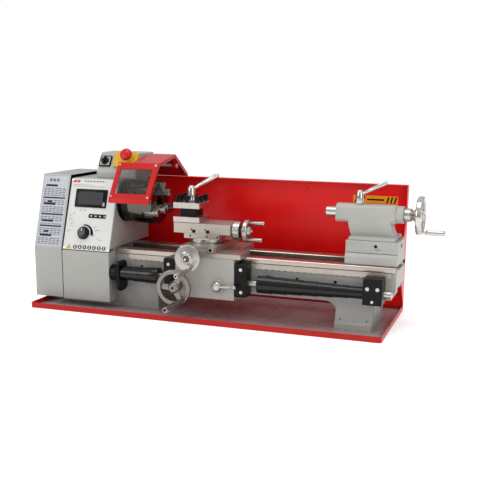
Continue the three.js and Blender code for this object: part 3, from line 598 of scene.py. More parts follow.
def plain_floor():
    bm = bmesh.new()
    bmesh.ops.create_grid(bm, x_segments=1, y_segments=1, size=60.0,
                          matrix=Matrix.Translation((0, 0, -0.0005)))
    pale = bpy.data.materials.new("pale_floor")
    pale.use_nodes = True
    pale.node_tree.nodes["Principled BSDF"].inputs["Base Color"].default_value = (0.9, 0.9, 0.9, 1)
    pale.node_tree.nodes["Principled BSDF"].inputs["Roughness"].default_value = 0.9
    pale.node_tree.nodes["Principled BSDF"].inputs["Specular IOR Level"].default_value = 0.1
    pale.node_tree.nodes["Principled BSDF"].inputs["Emission Color"].default_value = (1, 1, 1, 1)
    pale.node_tree.nodes["Principled BSDF"].inputs["Emission Strength"].default_value = 0.34
    floor = piece("floor", bm, pale, None)


def soft_light(name, at, look_at, size, watts, tint=(1, 1, 1)):
    data = bpy.data.lights.new(name, "AREA")
    data.shape, data.size, data.size_y, data.energy, data.color = "RECTANGLE", size[0], size[1], watts, tint
    lamp = bpy.data.objects.new(name, data)
    lamp.matrix_world = Matrix.Translation(at) @ (Vector(look_at) - Vector(at)).to_track_quat("-Z",
            "Y").to_matrix().to_4x4()
    scene.collection.objects.link(lamp)


ROOM_LOW, ROOM_HIGH = 0.34, 0.85


def studio():
    world = bpy.data.worlds.new("studio")
    scene.world = world
    world.use_nodes = True
    tree = world.node_tree
    sky = tree.nodes["Background"]
    parts = tree.nodes.new("ShaderNodeSeparateXYZ")
    tree.links.new(tree.nodes.new("ShaderNodeTexCoord").outputs["Generated"], parts.inputs[0])
    room = ramp(tree, parts.outputs["Z"], -0.1, 0.75, ROOM_LOW, ROOM_HIGH)
    seen = tree.nodes.new("ShaderNodeLightPath").outputs["Is Camera Ray"]
    behind = maths(tree, "MULTIPLY", maths(tree, "SUBTRACT", 1.0, room), seen)
    tree.links.new(maths(tree, "ADD", room, behind), sky.inputs["Strength"])
    sky.inputs["Color"].default_value = (1.0, 1.0, 1.0, 1)
    soft_light("overhead", (-0.1, -0.4, 2.0), (0, 0, 0.1), (1.6, 1.0), 14)
    soft_light("left_front", (-1.5, -1.7, 1.1), (0, 0, 0.15), (0.9, 1.1), 11)
    soft_light("right_front", (1.7, -1.2, 0.9), (0.1, 0, 0.15), (0.7, 1.2), 7)
    scene.view_settings.view_transform = "Standard"


stand_camera()
plain_floor()
studio()

# ---- tray, splash guard and bed ----------------------------------------------
def tray_and_guard():
    dress(tray_red_painted_shade, "chip_tray", soft=0.6)
    dress(red_enamel, "splash_guard", soft=0.5)
    bm = bmesh.new()
    sweep(bm, rounded(-425.8, 425.8, -146.3, 146.3, 4), "Z", 2.02, 2.25)
    piece("tray_floor", bm, tray_floor_grey, "base")
    bm = bmesh.new()
    block(bm, (296, 404), (148.7, 149.2), (257, 276), 0.15)
    piece("guard_plate_amber", bm, amber_print, "base")
    bm = bmesh.new()
    for x in (300, 309, 318, 376, 385, 394):
        sweep(bm, [(x, 259), (x + 4, 259), (x + 8, 274), (x + 4, 274)], "Y", 148.5, 148.75)
    block(bm, (330, 371), (148.5, 148.75), (264.5, 268.5))
    piece("guard_plate_stripes", bm, black_print, "base")
    bm = bmesh.new()
    block(bm, (326, 403), (148.7, 149.2), (249, 256), 0.15)
    piece("guard_plate_strip", bm, white_print, "base")
    bm = bmesh.new()
    for x, z in ((-400, 20), (-150, 20), (150, 20), (400, 20), (-100, 288), (180, 288)):
        round_bar(bm, (x, 149.3, z), (x, 147.6, z), 4.2, 3.4, 0.8, 20)
    piece("guard_rivets", bm, red_enamel, "base")


def bed_and_ways():
    dress(grey_enamel, "bed", soft=1.4)
    dress(iron_long, "rack", soft=0.3)
    bm = bmesh.new()
    for a, b in ((-68, -36), (26, 58)):
        low, high, d = 134, 146, 0.12
        outline = [(a + 1.5, low - d), (b - 1.5, low - d), (b + d, low + 1.5), (b + d, high - 1.5),
                   (b - 1.5, high + d), (a + 1.5, high + d),
                   (a - d, high - 1.5), (a - d, low + 1.5)]
        sweep(bm, outline, "X", -236.4, 440.0, 0.3, 2, corner=0.3)
    piece("bed_ways", bm, ways_steel, "base")
    bm = bmesh.new()
    for x in (-150, 160, 205, 250, 300):
        socket_screw(bm, aim((x, -60.2, 127), (0, -1, 0)), 2.6, 0.9)
    for x in (-170, 150, 218, 306):
        socket_screw(bm, aim((x, -60.2, 104), (0, -1, 0)), 3.4, 1.2)
    piece("bed_screws", bm, screw_black, "base")
    bm = bmesh.new()
    for x in (322, 381):
        round_bar(bm, (x, -66, 20), (x, -66, 24.5), 5, 5, 0.6, 6)
    piece("foot_bolts", bm, screw_black, "base")


# ---- headstock -----------------------------------------------------------------
def headstock():
    dress(grey_enamel, "headstock_casting", soft=2.2, steps=3)
    dress(grey_sheet, "lower_front_cover", soft=0.9)
    dress(grey_sheet, "gear_cover", soft=1.0)
    dress(panel_white, "control_panel", soft=1.2, steps=3)
    # display
    bm = bmesh.new()
    sweep(bm, rounded(-346, -260, 105, 150, 2.5), "Y", -2.0, -0.3, 0.6, 2, PANEL)
    piece("display_bezel", bm, screen_black, "base", ("display",))
    bm = bmesh.new()
    sweep(bm, rounded(-336, -271, 112, 143, 1.5), "Y", -2.35, -2.02, 0.15, 1, PANEL)
    piece("display_screen", bm, screen_grey, "base")
    bm = bmesh.new()
    for i in range(4):
        block(bm, (-331 + i * 14.5, -322 + i * 14.5), (-2.55, -2.37), (121, 135), 0.0, PANEL)
    piece("display_digits", bm, screen_black, "base")
    bm = bmesh.new()
    for i in range(3):
        block(bm, (-270 + i * 0.1, -264), (-2.3, -2.02), (110 + i * 3.4, 111.4 + i * 3.4), 0.0, PANEL)
    piece("display_side_marks", bm, white_print, "base")
    # keys
    bm = bmesh.new()
    sweep(bm, rounded(-304, -257, 80, 89.5, 1.5), "Y", -1.0, -0.05, 0.3, 2, PANEL)
    piece("key_strip", bm, black_plastic, "base")
    bm = bmesh.new()
    for i in range(4):
        x = -298.5 + i * 12
        for dx in (0, 2.6):
            sweep(bm, [(x + dx, 82.6), (x + dx + 2.4, 84.7), (x + dx, 86.8)], "Y", -1.25, -1.02,
                  place=PANEL)
    piece("key_marks", bm, white_print, "base")
    # speed knob with its dial arc
    bm = bmesh.new()
    turned(bm, "Y", KNOB, [(-13, 0), (-13, 9.5), (-12.2, 11.2), (-4, 13), (-3.4, 15.6), (-0.3, 15.6),
                           (-0.3, 0)], 0.4, 72, PANEL)
    for i in range(24):
        a = i * TURN / 24
        foot, tip = ((KNOB[0] + r * math.cos(a), depth, KNOB[1] + r * math.sin(a)) for r,
                     depth in ((12.4, -3.8), (11, -11.6)))
        round_bar(bm, foot, tip, 0.75, 0.7, 0.0, 8, PANEL)
    piece("speed_knob_cap", bm, black_gloss, "speed_knob", ("speed_knob",))
    bm = bmesh.new()
    block(bm, (-311.8, -310.2), (-13.2, -12.9), (46, 51.5), 0.0, PANEL)
    piece("speed_knob_line", bm, white_print, "speed_knob")
    bm = bmesh.new()
    steps = 26
    for i in range(steps):
        a0, a1 = (math.radians(-12 + 112 * (i + j) / steps) for j in (0, 1))
        w0, w1 = (2.4 + 4.8 * (1 - (i + j) / steps) for j in (0, 1))
        ring = [(KNOB[0] + r * math.cos(a), KNOB[1] + r * math.sin(a)) for a,
                r in ((a0, 18.5), (a1, 18.5), (a1, 18.5 + w1), (a0, 18.5 + w0))]
        sweep(bm, ring, "Y", -0.25, -0.04, place=PANEL)
    piece("speed_arc", bm, black_print, "base")
    # line of signs under the knob
    bm = bmesh.new()
    for i in range(7):
        round_bar(bm, (-330 + i * 13, -0.04, 7.5), (-330 + i * 13, -0.3, 7.5), 5.2, 5.2, 0.0, 28, PANEL)
    piece("sign_discs", bm, lamp_blue, "base")
    bm = bmesh.new()
    for i in range(7):
        x = -330 + i * 13
        round_bar(bm, (x, -0.3, 9.6), (x, -0.5, 9.6), 1.5, 1.5, 0.0, 16, PANEL)
        block(bm, (x - 1.7, x + 1.7), (-0.5, -0.3), (4.8, 7.4), 0.0, PANEL)
    piece("sign_marks", bm, white_print, "base")
    bm = bmesh.new()
    sweep(bm, [(-354, 2), (-340, 2), (-347, 14.5)], "Y", -0.3, -0.04, place=PANEL)
    piece("sign_triangle", bm, yellow_print, "base")
    bm = bmesh.new()
    sweep(bm, [(-348.8, 4.4), (-345.2, 4.4), (-347, 10.6)], "Y", -0.45, -0.28, place=PANEL)
    for a, b, z in ((-356, -272, 156.5), (-356, -300, 160.2)):
        block(bm, (a, b), RULE, (z, z + 0.7), 0.0, PANEL)
    for a, z in ((-352, 64), (-352, 70), (-352, 58), (-275, 30), (-269, 26)):
        block(bm, (a, a + 10), RULE, (z, z + 0.8), 0.0, PANEL)
    for i in range(7):
        block(bm, (-328 + i * 8.2, -322.5 + i * 8.2), RULE, (168.5, 171.5), 0.0, PANEL)
    for x, z, wide in ((-355, 84, 5), (-355, 76, 8), (-346, 90, 6), (-356, 46, 9), (-288, 36, 9),
                       (-284, 58, 7), (-280, 50, 12), (-330, 98, 8), (-318, 98, 5)):
        block(bm, (x, x + wide), RULE, (z, z + 1.0), 0.0, PANEL)
        block(bm, (x, x + 0.8), RULE, (z - 4, z), 0.0, PANEL)
    piece("panel_rules", bm, chart_grey, "base")
    bm = bmesh.new()
    sweep(bm, [(-359, 166), (-351, 166), (-348, 172), (-356, 172)], "Y", -0.25, -0.04, place=PANEL)
    sweep(bm, [(-349, 166), (-341, 166), (-338, 172), (-346, 172)], "Y", -0.25, -0.04, place=PANEL)
    piece("panel_flash", bm, red_plastic, "base")
    seats = [PANEL @ aim((x, 0.1, z), (0, -1, 0)) for z in (172, 4) for x in (-359.5, -240.5)]
    screws("panel_screws", screw_steel, "base", seats, 2.2, 0.9)
    # gear cover: chart and screws
    bm = bmesh.new()
    sweep(bm, rounded(-437.5, -369.5, 4, 178, 3), "Y", -0.35, -0.03, place=CHART_FACE)
    piece("thread_chart", bm, chart_paper, "base")
    bm = bmesh.new()
    ink = bmesh.new()
    for band, (top, rows) in enumerate(((152, 5), (122, 3), (106, 4), (81, 3), (64, 2), (52, 4), (28, 4))):
        wide = band % 2 == 0
        block(ink, (-434 if not wide else -430, -373 if not wide else -398), (-0.62, -0.33),
              (top, top + (3.6 if not wide else 5.0)), 0.0, CHART_FACE)
        for r in range(rows):
            z = top - 4 - r * 4.4
            for c in range(6):
                x = -434 + c * 10.4
                block(bm, (x, x + 8.8 - (r + c) % 3), (-0.55, -0.33), (z - 2.1, z), 0.0, CHART_FACE)
    for z in (112, 38):
        block(ink, (-420, -408), (-0.64, -0.33), (z, z + 4.5), 0.0, CHART_FACE)
    for x in (-418, -408, -398):
        round_bar(bm, (x, -0.33, 168), (x, -0.6, 168), 4, 4, 0.0, 24, CHART_FACE)
    piece("thread_chart_cells", bm, chart_grey, "base")
    piece("thread_chart_heads", ink, chart_ink, "base")
    seats = [aim((-440.6, y, z), (-1, 0, 0)) for y, z in ((-90, 40), (-90, 120), (100, 40), (100, 290))]
    screws("gear_cover_screws", screw_black, "base", seats, 3.4, 0.4)
    # joint between the gear cover and the headstock
    bm = bmesh.new()
    block(bm, (-365.3, -363.6), (-38, 117), (150, 309.5), 0.2)
    piece("cover_seam", bm, black_plastic, "base")


def switch_gear():
    dress(grey_enamel, "switch_box", soft=1.6, steps=3)
    bm = bmesh.new()
    sweep(bm, rounded(-309, -277, 15.5, 44.5, 2.5), "Y", -3.0, -0.05, 0.5, 2, BOX_FACE)
    piece("switch_frame", bm, black_plastic, "base")
    bm = bmesh.new()
    sweep(bm, rounded(-306, -280, 18.5, 41.5, 1.5), "Y", -3.6, -2.9, 0.3, 2, BOX_FACE)
    piece("switch_scale", bm, grey_sheet, "base")
    bm = bmesh.new()
    turned(bm, "Y", SWITCH, [(-9, 0), (-9, 9), (-3.7, 10.4), (-3.7, 0)], 0.6, 64, BOX_FACE)
    block(bm, (-295.6, -290.4), (-15, -8), (20.2, 39.8), 1.1, BOX_FACE, 3)
    piece("switch_grip", bm, black_gloss, "rotary_switch", ("rotary_switch",))
    bm = bmesh.new()
    block(bm, (-293.5, -292.5), (-15.15, -14.9), (33, 38.5), 0.0, BOX_FACE)
    piece("switch_grip_line", bm, white_print, "rotary_switch")
    bm = bmesh.new()
    sweep(bm, rounded(-268, -205, 14, 55, 3), "Y", -7.0, -0.3, 1.2, 3, BOX_FACE)
    turned(bm, "Y", STOP, [(-12, 6.6), (-12, 9.5), (-7.5, 12), (-6, 12), (-6, 6.6), (-12, 6.6)], 0.5, 64,
           BOX_FACE)
    piece("stop_housing", bm, yellow_plastic, "base", ("estop_housing",))
    bm = bmesh.new()
    turned(bm, "Y", STOP, [(-29, 0), (-28.7, 6), (-27.4, 11), (-24.6, 14.4), (-20.6, 15.15), (-17.6, 14.8),
                           (-16.8, 13), (-17.2, 6.1), (-10.4, 6.1),
                                 (-10.4, 0)], 0.5, 72, BOX_FACE)
    piece("stop_mushroom", bm, red_plastic, "estop_button", ("estop_button",))
    seats = [BOX_FACE @ aim((x, -6.9, z), (0, -1, 0)) for z in (18, 51) for x in (-264, -209)]
    screws("stop_housing_screws", screw_steel, "base", seats, 1.9, 0.5)


def chuck_guard():
    dress(red_guard_painted_shade, "guard_sheet", soft=0.5)
    dress(window_sheet, "guard_window", soft=0.3)
    face = slope(-95, 270, 56, 80)
    seats = [face @ aim((x, 0.1, up), (0, -1, 0)) for up in (5, 91) for x in (-231.5, -136.5)]
    screws("window_screws", screw_steel, "guard", seats, 2.8, 1.4, 0.45)
    bm = bmesh.new()
    outer, inner = (-227.2, -140.8, 10.8, 83.2), (-224.6, -143.4, 13.4, 80.6)
    for x, z in (((outer[0], inner[0]), (outer[2], outer[3])), ((inner[1], outer[1]), (outer[2], outer[3])),
                 ((inner[0], inner[1]), (outer[2], inner[2])),
                 ((inner[0], inner[1]), (inner[3], outer[3]))):
        block(bm, x, (0.1, 2.2), z, 0.0, face)
    piece("window_gasket", bm, red_guard_painted_shade, "guard")
    # folded edges, the lip along the bottom of the rear leaf and its wider foot
    bends = [(-95, 270), (-39, 350), (58, 366), (136, 312)]
    bm = bmesh.new()
    sweep(bm, offset_line(bends, 2.05) + offset_line(bends, 8.0)[::-1], "X", -133.0, -131.2, 0.3, 2)
    sweep(bm, [(136, 312), (135.6, 306.4), (134.2, 306.4), (134.2, 310.6)], "X", -228, -131.2, 0.3, 2)
    sweep(bm, [(108, 331.4), (136, 312), (134.2, 310.6), (106.9, 329.7)], "X", -228, -200.05, 0.3, 2)
    piece("guard_folds", bm, red_guard_painted_shade, "guard")


# ---- spindle and chuck ------------------------------------------------------------
def spindle_and_chuck():
    dress(ground_steel, "bearing_front", "bearing_rear", soft=0)
    dress(motor_paint, "drive_motor", soft=0.8)
    dress(gear_steel, "motor_pulley", "idler_gear_upper", "idler_gear_lower", soft=0.3)
    dress(belt_rubber, "drive_belt", soft=0.3)
    dress(dark_steel, "banjo", soft=0.5)
    bm = bmesh.new()
    turned(bm, "X", SPINDLE, [(-412, 10.5), (-412, 17.7), (-396, 17.7), (-396, 20), (-393, 20), (-393, 37),
                              (-391.3, 37), (-391.3, 33.7),
                              (-375.7, 33.7), (-375.7, 37), (-374, 37), (-374, 20), (-237, 20), (-236, 30),
                              (-226.5, 30), (-226.5, 10.5),
                              (-412, 10.5)], 0.3, 72)
    piece("spindle_shaft", bm, ground_steel, "spindle", ("spindle",))
    bm = bmesh.new()
    turned(bm, "X", SPINDLE, [(-226.2, 10.5), (-226.2, 50), (-209.3, 50), (-209.3, 10.5), (-226.2, 10.5)],
           0.8, 96)
    piece("chuck_plate", bm, black_iron, "spindle", ("chuck_backplate",))
    bm = bmesh.new()
    turned(bm, "X", SPINDLE, [(-209, 13), (-209, 50.5), (-207.6, 52), (-147, 52), (-145, 50), (-145, 19),
                              (-147, 17), (-147, 13), (-209, 13)], 0.7, 120)
    tools = bmesh.new()
    for i in range(3):
        turn = about(SPINDLE, i * TURN / 3)
        block(tools, (-172.4, -140), (-7.4, 7.4), (5, 60), 0.0, turn)
        half = about(SPINDLE, (i + 0.5) * TURN / 3)
        round_bar(tools, (-190, 0, 40), (-190, 0, 60), 5, 5, 0.0, 24, half)
    carved("chuck_drum", bm, tools, chuck_steel, "spindle", ("chuck_body",),
           flat_above=0.5, soft=0.25)
    bm = bmesh.new()
    for i in range(3):
        half = about(SPINDLE, (i + 0.5) * TURN / 3)
        block(bm, (-192.4, -187.6), (-2.4, 2.4), (40.5, 46), 0.0, half)
        for a in (-0.45, 0.45):
            side = half @ Matrix.Rotation(a, 4, "X")
            socket_screw(bm, side @ aim((-145.1, 0, 40), (1, 0, 0)), 3.6, 0.5)
    piece("chuck_keys", bm, screw_black, "spindle")
    for i in range(3):
        bm = bmesh.new()
        turn = about(SPINDLE, i * TURN / 3)
        outline = [(-172, 15), (-116.5, 15), (-116.5, 21), (-119, 21), (-119, 33), (-132, 33), (-132, 48),
                   (-172, 48)]
        sweep(bm, outline, "Y", -7, 7, 0.5, 2, turn)
        tools = bmesh.new()
        sweep(tools, [(-8, 12), (8, 12), (8, 19.6), (0, 15.2), (-8, 19.6)], "X", -175, -110, place=turn)
        carved(f"jaw_block_{i + 1}", bm, tools, jaw_steel, f"jaw_{i + 1}", (f"jaw_{i + 1}",))
        bm = bmesh.new()
        for x in (-128.5, -125.5, -122.5):
            block(bm, (x, x + 0.7), (-7.06, 7.06), (32.4, 33.05), 0.0, turn)
        for x in (-142, -139, -136):
            block(bm, (x, x + 0.7), (-7.06, 7.06), (47.4, 48.05), 0.0, turn)
        piece(f"jaw_steps_{i + 1}", bm, dark_steel, f"jaw_{i + 1}")
    # dark ring round the spindle nose
    bm = bmesh.new()
    turned(bm, "X", SPINDLE, [(-236.9, 27), (-236.9, 50), (-233.4, 50), (-232.4, 47), (-232.4, 31.5),
                              (-236.9, 27)], 0.5, 96)
    piece("nose_ring", bm, black_iron, "base")


# ---- lead screw --------------------------------------------------------------------
def lead_screw():
    dress(black_plastic, "lead_screw_plate", soft=1.6, steps=3)
    dress(black_iron, "lead_screw_bracket", soft=1.6, steps=3)
    bm = bmesh.new()
    profile = [(-412, 0), (-412, 8), (-410, 8), (-410, 13.6), (-402, 13.6), (-402, 8), (112, 8)]
    x = 112.0
    while x < 136:
        profile += [(x + 0.9, 8), (x + 1.3, 7.1), (x + 2.1, 7.1), (x + 2.5, 8)]
        x += 2.5
    profile += [(434.6, 8), (436, 6.6), (436, 0)]
    turned(bm, "X", SCREW, profile, 0.0, 40)
    piece("lead_screw_bar", bm, ground_steel, "lead_screw", ("lead_screw",))
    bm = bmesh.new()
    turned(bm, "X", SCREW, [(-236.7, 8.6), (-236.7, 19), (-219, 20), (-217.3, 19), (-217.3, 8.6),
                            (-236.7, 8.6)], 0.5, 64)
    piece("lead_screw_boss", bm, black_plastic, "base")
    bm = bmesh.new()
    socket_screw(bm, aim((386, -104, 104), (0, -1, 0)), 4.2, 1.6)
    socket_screw(bm, aim((408, -104, 104), (0, -1, 0)), 4.2, 1.6)
    socket_screw(bm, aim((397, -104, 76), (0, -1, 0)), 3.2, 1.2)
    piece("bracket_screws", bm, screw_steel, "base")


def screw_covers():
    def cover(name, node, x0, x1, r0, r1, steps):
        profile = [(x0, 9.5)]
        for i in range(steps):
            a, b = (x0 + (x1 - x0) * (i + j) / steps for j in (0, 1))
            r = r0 + (r1 - r0) * i / (steps - 1)
            if i == 0:
                profile += [(a, r), (a + 2.2, r), (b, r)]
            else:
                profile += [(a, r), (b, r)]
        profile += [(x1, 9.5), (x0, 9.5)]
        dense = [profile[0]]
        for p, q in zip(profile, profile[1:]):
            n = max(1, int(abs(q[0] - p[0]) / 12))
            dense += [(p[0] + (q[0] - p[0]) * k / n, p[1] + (q[1] - p[1]) * k / n) for k in range(1, n + 1)]
        bm = bmesh.new()
        turned(bm, "X", SCREW, eased(dense, 0.5)[:-1] + [eased(dense, 0.5)[0]], 0.0, 72)
        obj = piece(name, bm, black_gloss, None, (node,), flat_above=0.5)
        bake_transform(obj)
    cover("screw_sleeve_left", "screw_cover_left", -208.5, -112, 17.5, 19.5, 3)
    cover("screw_sleeve_right", "screw_cover_right", 134, 375.5, 20, 13.5, 7)


# ---- carriage -----------------------------------------------------------------------
def dial_marks(bm, axis, centre, at, r, count, long_every=5, short=1.6, long=3.0):
    for i in range(count):
        reach = long if i % long_every == 0 else short
        turn = Matrix.Rotation(i * TURN / count, 4, axis)
        if axis == "X":
            place = Matrix.Translation((0, centre[0] * MM, centre[1] * MM)) @ turn
            block(bm, (at, at + reach), (-0.16, 0.16), (r - 0.1, r + 0.06), 0.0, place)
        else:
            place = Matrix.Translation((centre[0] * MM, 0, centre[1] * MM)) @ turn
            block(bm, (-0.16, 0.16), (at, at + reach), (r - 0.1, r + 0.06), 0.0, place)


def carriage():
    dress(iron_cross, "saddle", soft=1.0)
    dress(apron_grey, "apron", soft=2.2, steps=3)
    dress(black_plastic, "cover_bracket_left", "cover_bracket_right", soft=3.0, steps=3)
    dress(bronze, "half_nut_upper", "half_nut_lower", soft=0.4)
    dress(gear_steel, "rack_pinion", soft=0.3)
    seats = [aim((x, -104, z), (0, -1, 0)) for x, z in ((98, 124), (99, 72), (-80, 124), (-80, 72))]
    screws("bracket_screws_white", white_print, "carriage", seats, 3.6, 1.4, 0.4)
    # apron wheel
    x, z = WHEEL
    front = -150
    bm = bmesh.new()
    turned(bm, "Y", WHEEL, [(front, 32.6), (front + 0.2, 38.4), (front + 1.6, 40.8), (front + 4, 41.9),
                            (front + 8, 41.9), (front + 10.6, 40.8),
                            (front + 12, 38), (front + 12, 32), (front + 9, 30.4), (front + 4, 30.4),
                            (front + 1.2, 31.2), (front, 32.6)], 0.4, 96)
    for a in (60, 180, 300):
        t = math.radians(a)
        c, s = math.cos(t), math.sin(t)
        outline = [(x + c * 9 - s * 8, z + s * 9 + c * 8), (x + c * 32 - s * 5.4, z + s * 32 + c * 5.4),
                   (x + c * 32 + s * 5.4, z + s * 32 - c * 5.4), (x + c * 9 + s * 8, z + s * 9 - c * 8)]
        sweep(bm, outline, "Y", front + 4.6, front + 9.4, 1.2, 3)
    turned(bm, "Y", WHEEL, [(front - 2, 0), (front - 2, 8), (front - 0.8, 9.6), (front + 5, 14),
                            (front + 10, 15), (front + 14, 13), (-118.3, 13),
                            (-118.3, 0)], 0.5, 72)
    round_bar(bm, (x, -119, z), (x, -93, z), 6, 6, 0.3, 32)
    round_bar(bm, (x + 25, front + 11, z - 26), (x + 25, front - 14, z - 26), 4.5, 4.5, 0.4, 32)
    turned(bm, "Y", (x + 25, z - 26), [(-250, 0), (-250, 3.2), (-249.2, 5.6), (-247, 6.8), (-240, 7),
                                       (-205, 6.7), (-172, 6.2), (-164, 5.2), (-162, 4.2),
                                       (-162, 0)], 0.5, 56)
    piece("apron_hand_wheel", bm, wheel_alu, "apron_wheel", ("apron_wheel",))
    bm = bmesh.new()
    round_bar(bm, (x, front - 2.1, z), (x, front - 1.2, z), 3.6, 3.6, 0.0, 6)
    round_bar(bm, (x + 25, -250.0, z - 26), (x + 25, -249.0, z - 26), 3.0, 3.0, 0.2, 24)
    piece("apron_wheel_socket", bm, screw_black, "apron_wheel")
    # half-nut lever
    bm = bmesh.new()
    turned(bm, "Y", HALF_NUT_LEVER, [(-119, 0), (-119, 7.4), (-117.6, 9.4), (-113, 12.5), (-109.3, 12.5),
                                     (-109.3, 0)], 0.8, 64)
    round_bar(bm, (46, -114.6, 82.2), (84, -118, 84.5), 4.0, 2.7, 0.4, 32)
    ball(bm, (87, -118, 84.7), 5.6, steps=32)
    round_bar(bm, (43, -110, 82), (43, -96, 82), 5, 5, 0.3, 32)
    piece("feed_lever", bm, satin_alu, "half_nut_lever", ("half_nut_lever",))
    bm = bmesh.new()
    round_bar(bm, (43, -119.3, 82), (43, -118.6, 82), 4.4, 4.4, 0.2, 28)
    piece("feed_lever_cap", bm, screw_steel, "half_nut_lever")
    bm = bmesh.new()
    turned(bm, "Y", HALF_NUT_LEVER, [(-108.9, 10.2), (-108.9, 15.0), (-107.6, 16.4), (-104.3, 17),
                                     (-104.3, 10.2), (-108.9, 10.2)], 0.5, 64)
    piece("feed_lever_collar", bm, apron_grey, "carriage")


def cross_feed():
    dress(iron_cross, "cross_slide", soft=0.9)
    x, z = CROSS
    bm = bmesh.new()
    round_bar(bm, (x, -160, z), (x, 60, z), 3.2, 3.2, 0.2, 28)
    turned(bm, "Y", CROSS, [(-138, 0), (-138, 10), (-130, 14.5), (-113, 14.5), (-112, 13.6), (-112, 0)],
           0.5, 80)
    piece("cross_dial", bm, ground_steel, "cross_feed", ("cross_screw",))
    bm = bmesh.new()
    dial_marks(bm, "Y", CROSS, -128, 14.5, 60)
    piece("cross_dial_marks", bm, black_print, "cross_feed")
    bm = bmesh.new()
    turned(bm, "Y", CROSS, [(-154, 3.6), (-154, 10.5), (-152.4, 12), (-150.2, 16), (-148.4, 29),
                            (-147.6, 30.4), (-146, 31), (-143, 31), (-141, 29.6),
                            (-140, 24), (-140, 3.6), (-154, 3.6)], 0.5, 96)
    round_bar(bm, (x + 8, -144, 126), (x + 8, -164, 126), 3.8, 3.8, 0.2, 28)
    turned(bm, "Y", (x + 8, 126), [(-230, 0), (-230, 3), (-229, 5.2), (-226, 6.3), (-212, 6.4),
                                   (-180, 6.0), (-166, 5.6), (-161.5, 4.6), (-160, 3.8),
                                   (-160, 0)], 0.4, 56)
    piece("cross_hand_wheel", bm, satin_alu, "cross_feed", ("cross_wheel",))
    bm = bmesh.new()
    turned(bm, "Y", CROSS, [(-157.5, 0), (-157.5, 3.6), (-156.6, 5), (-154, 8), (-153.6, 8), (-153.6, 0)],
           0.3, 48)
    piece("cross_wheel_nut", bm, bronze, "cross_feed")
    bm = bmesh.new()
    round_bar(bm, (x + 8, -230.0, 126), (x + 8, -229.2, 126), 2.6, 2.6, 0.2, 24)
    round_bar(bm, (x, -157.9, z), (x, -157.0, z), 2.4, 2.4, 0.2, 6)
    piece("cross_grip_screw", bm, screw_black, "cross_feed")
    seats = [aim((sx, 61.6, 164), (0, 1, 0)) for sx in (-44, -8, 28)]
    screws("cross_slide_screws", screw_black, "cross_slide", seats, 3, 0.3)
    bm = bmesh.new()
    round_bar(bm, (26.5, -108, 164.5), (26.5, -108.9, 164.5), 3.6, 3.6, 0.2, 24)
    piece("cross_stop_screw", bm, screw_black, "cross_slide")


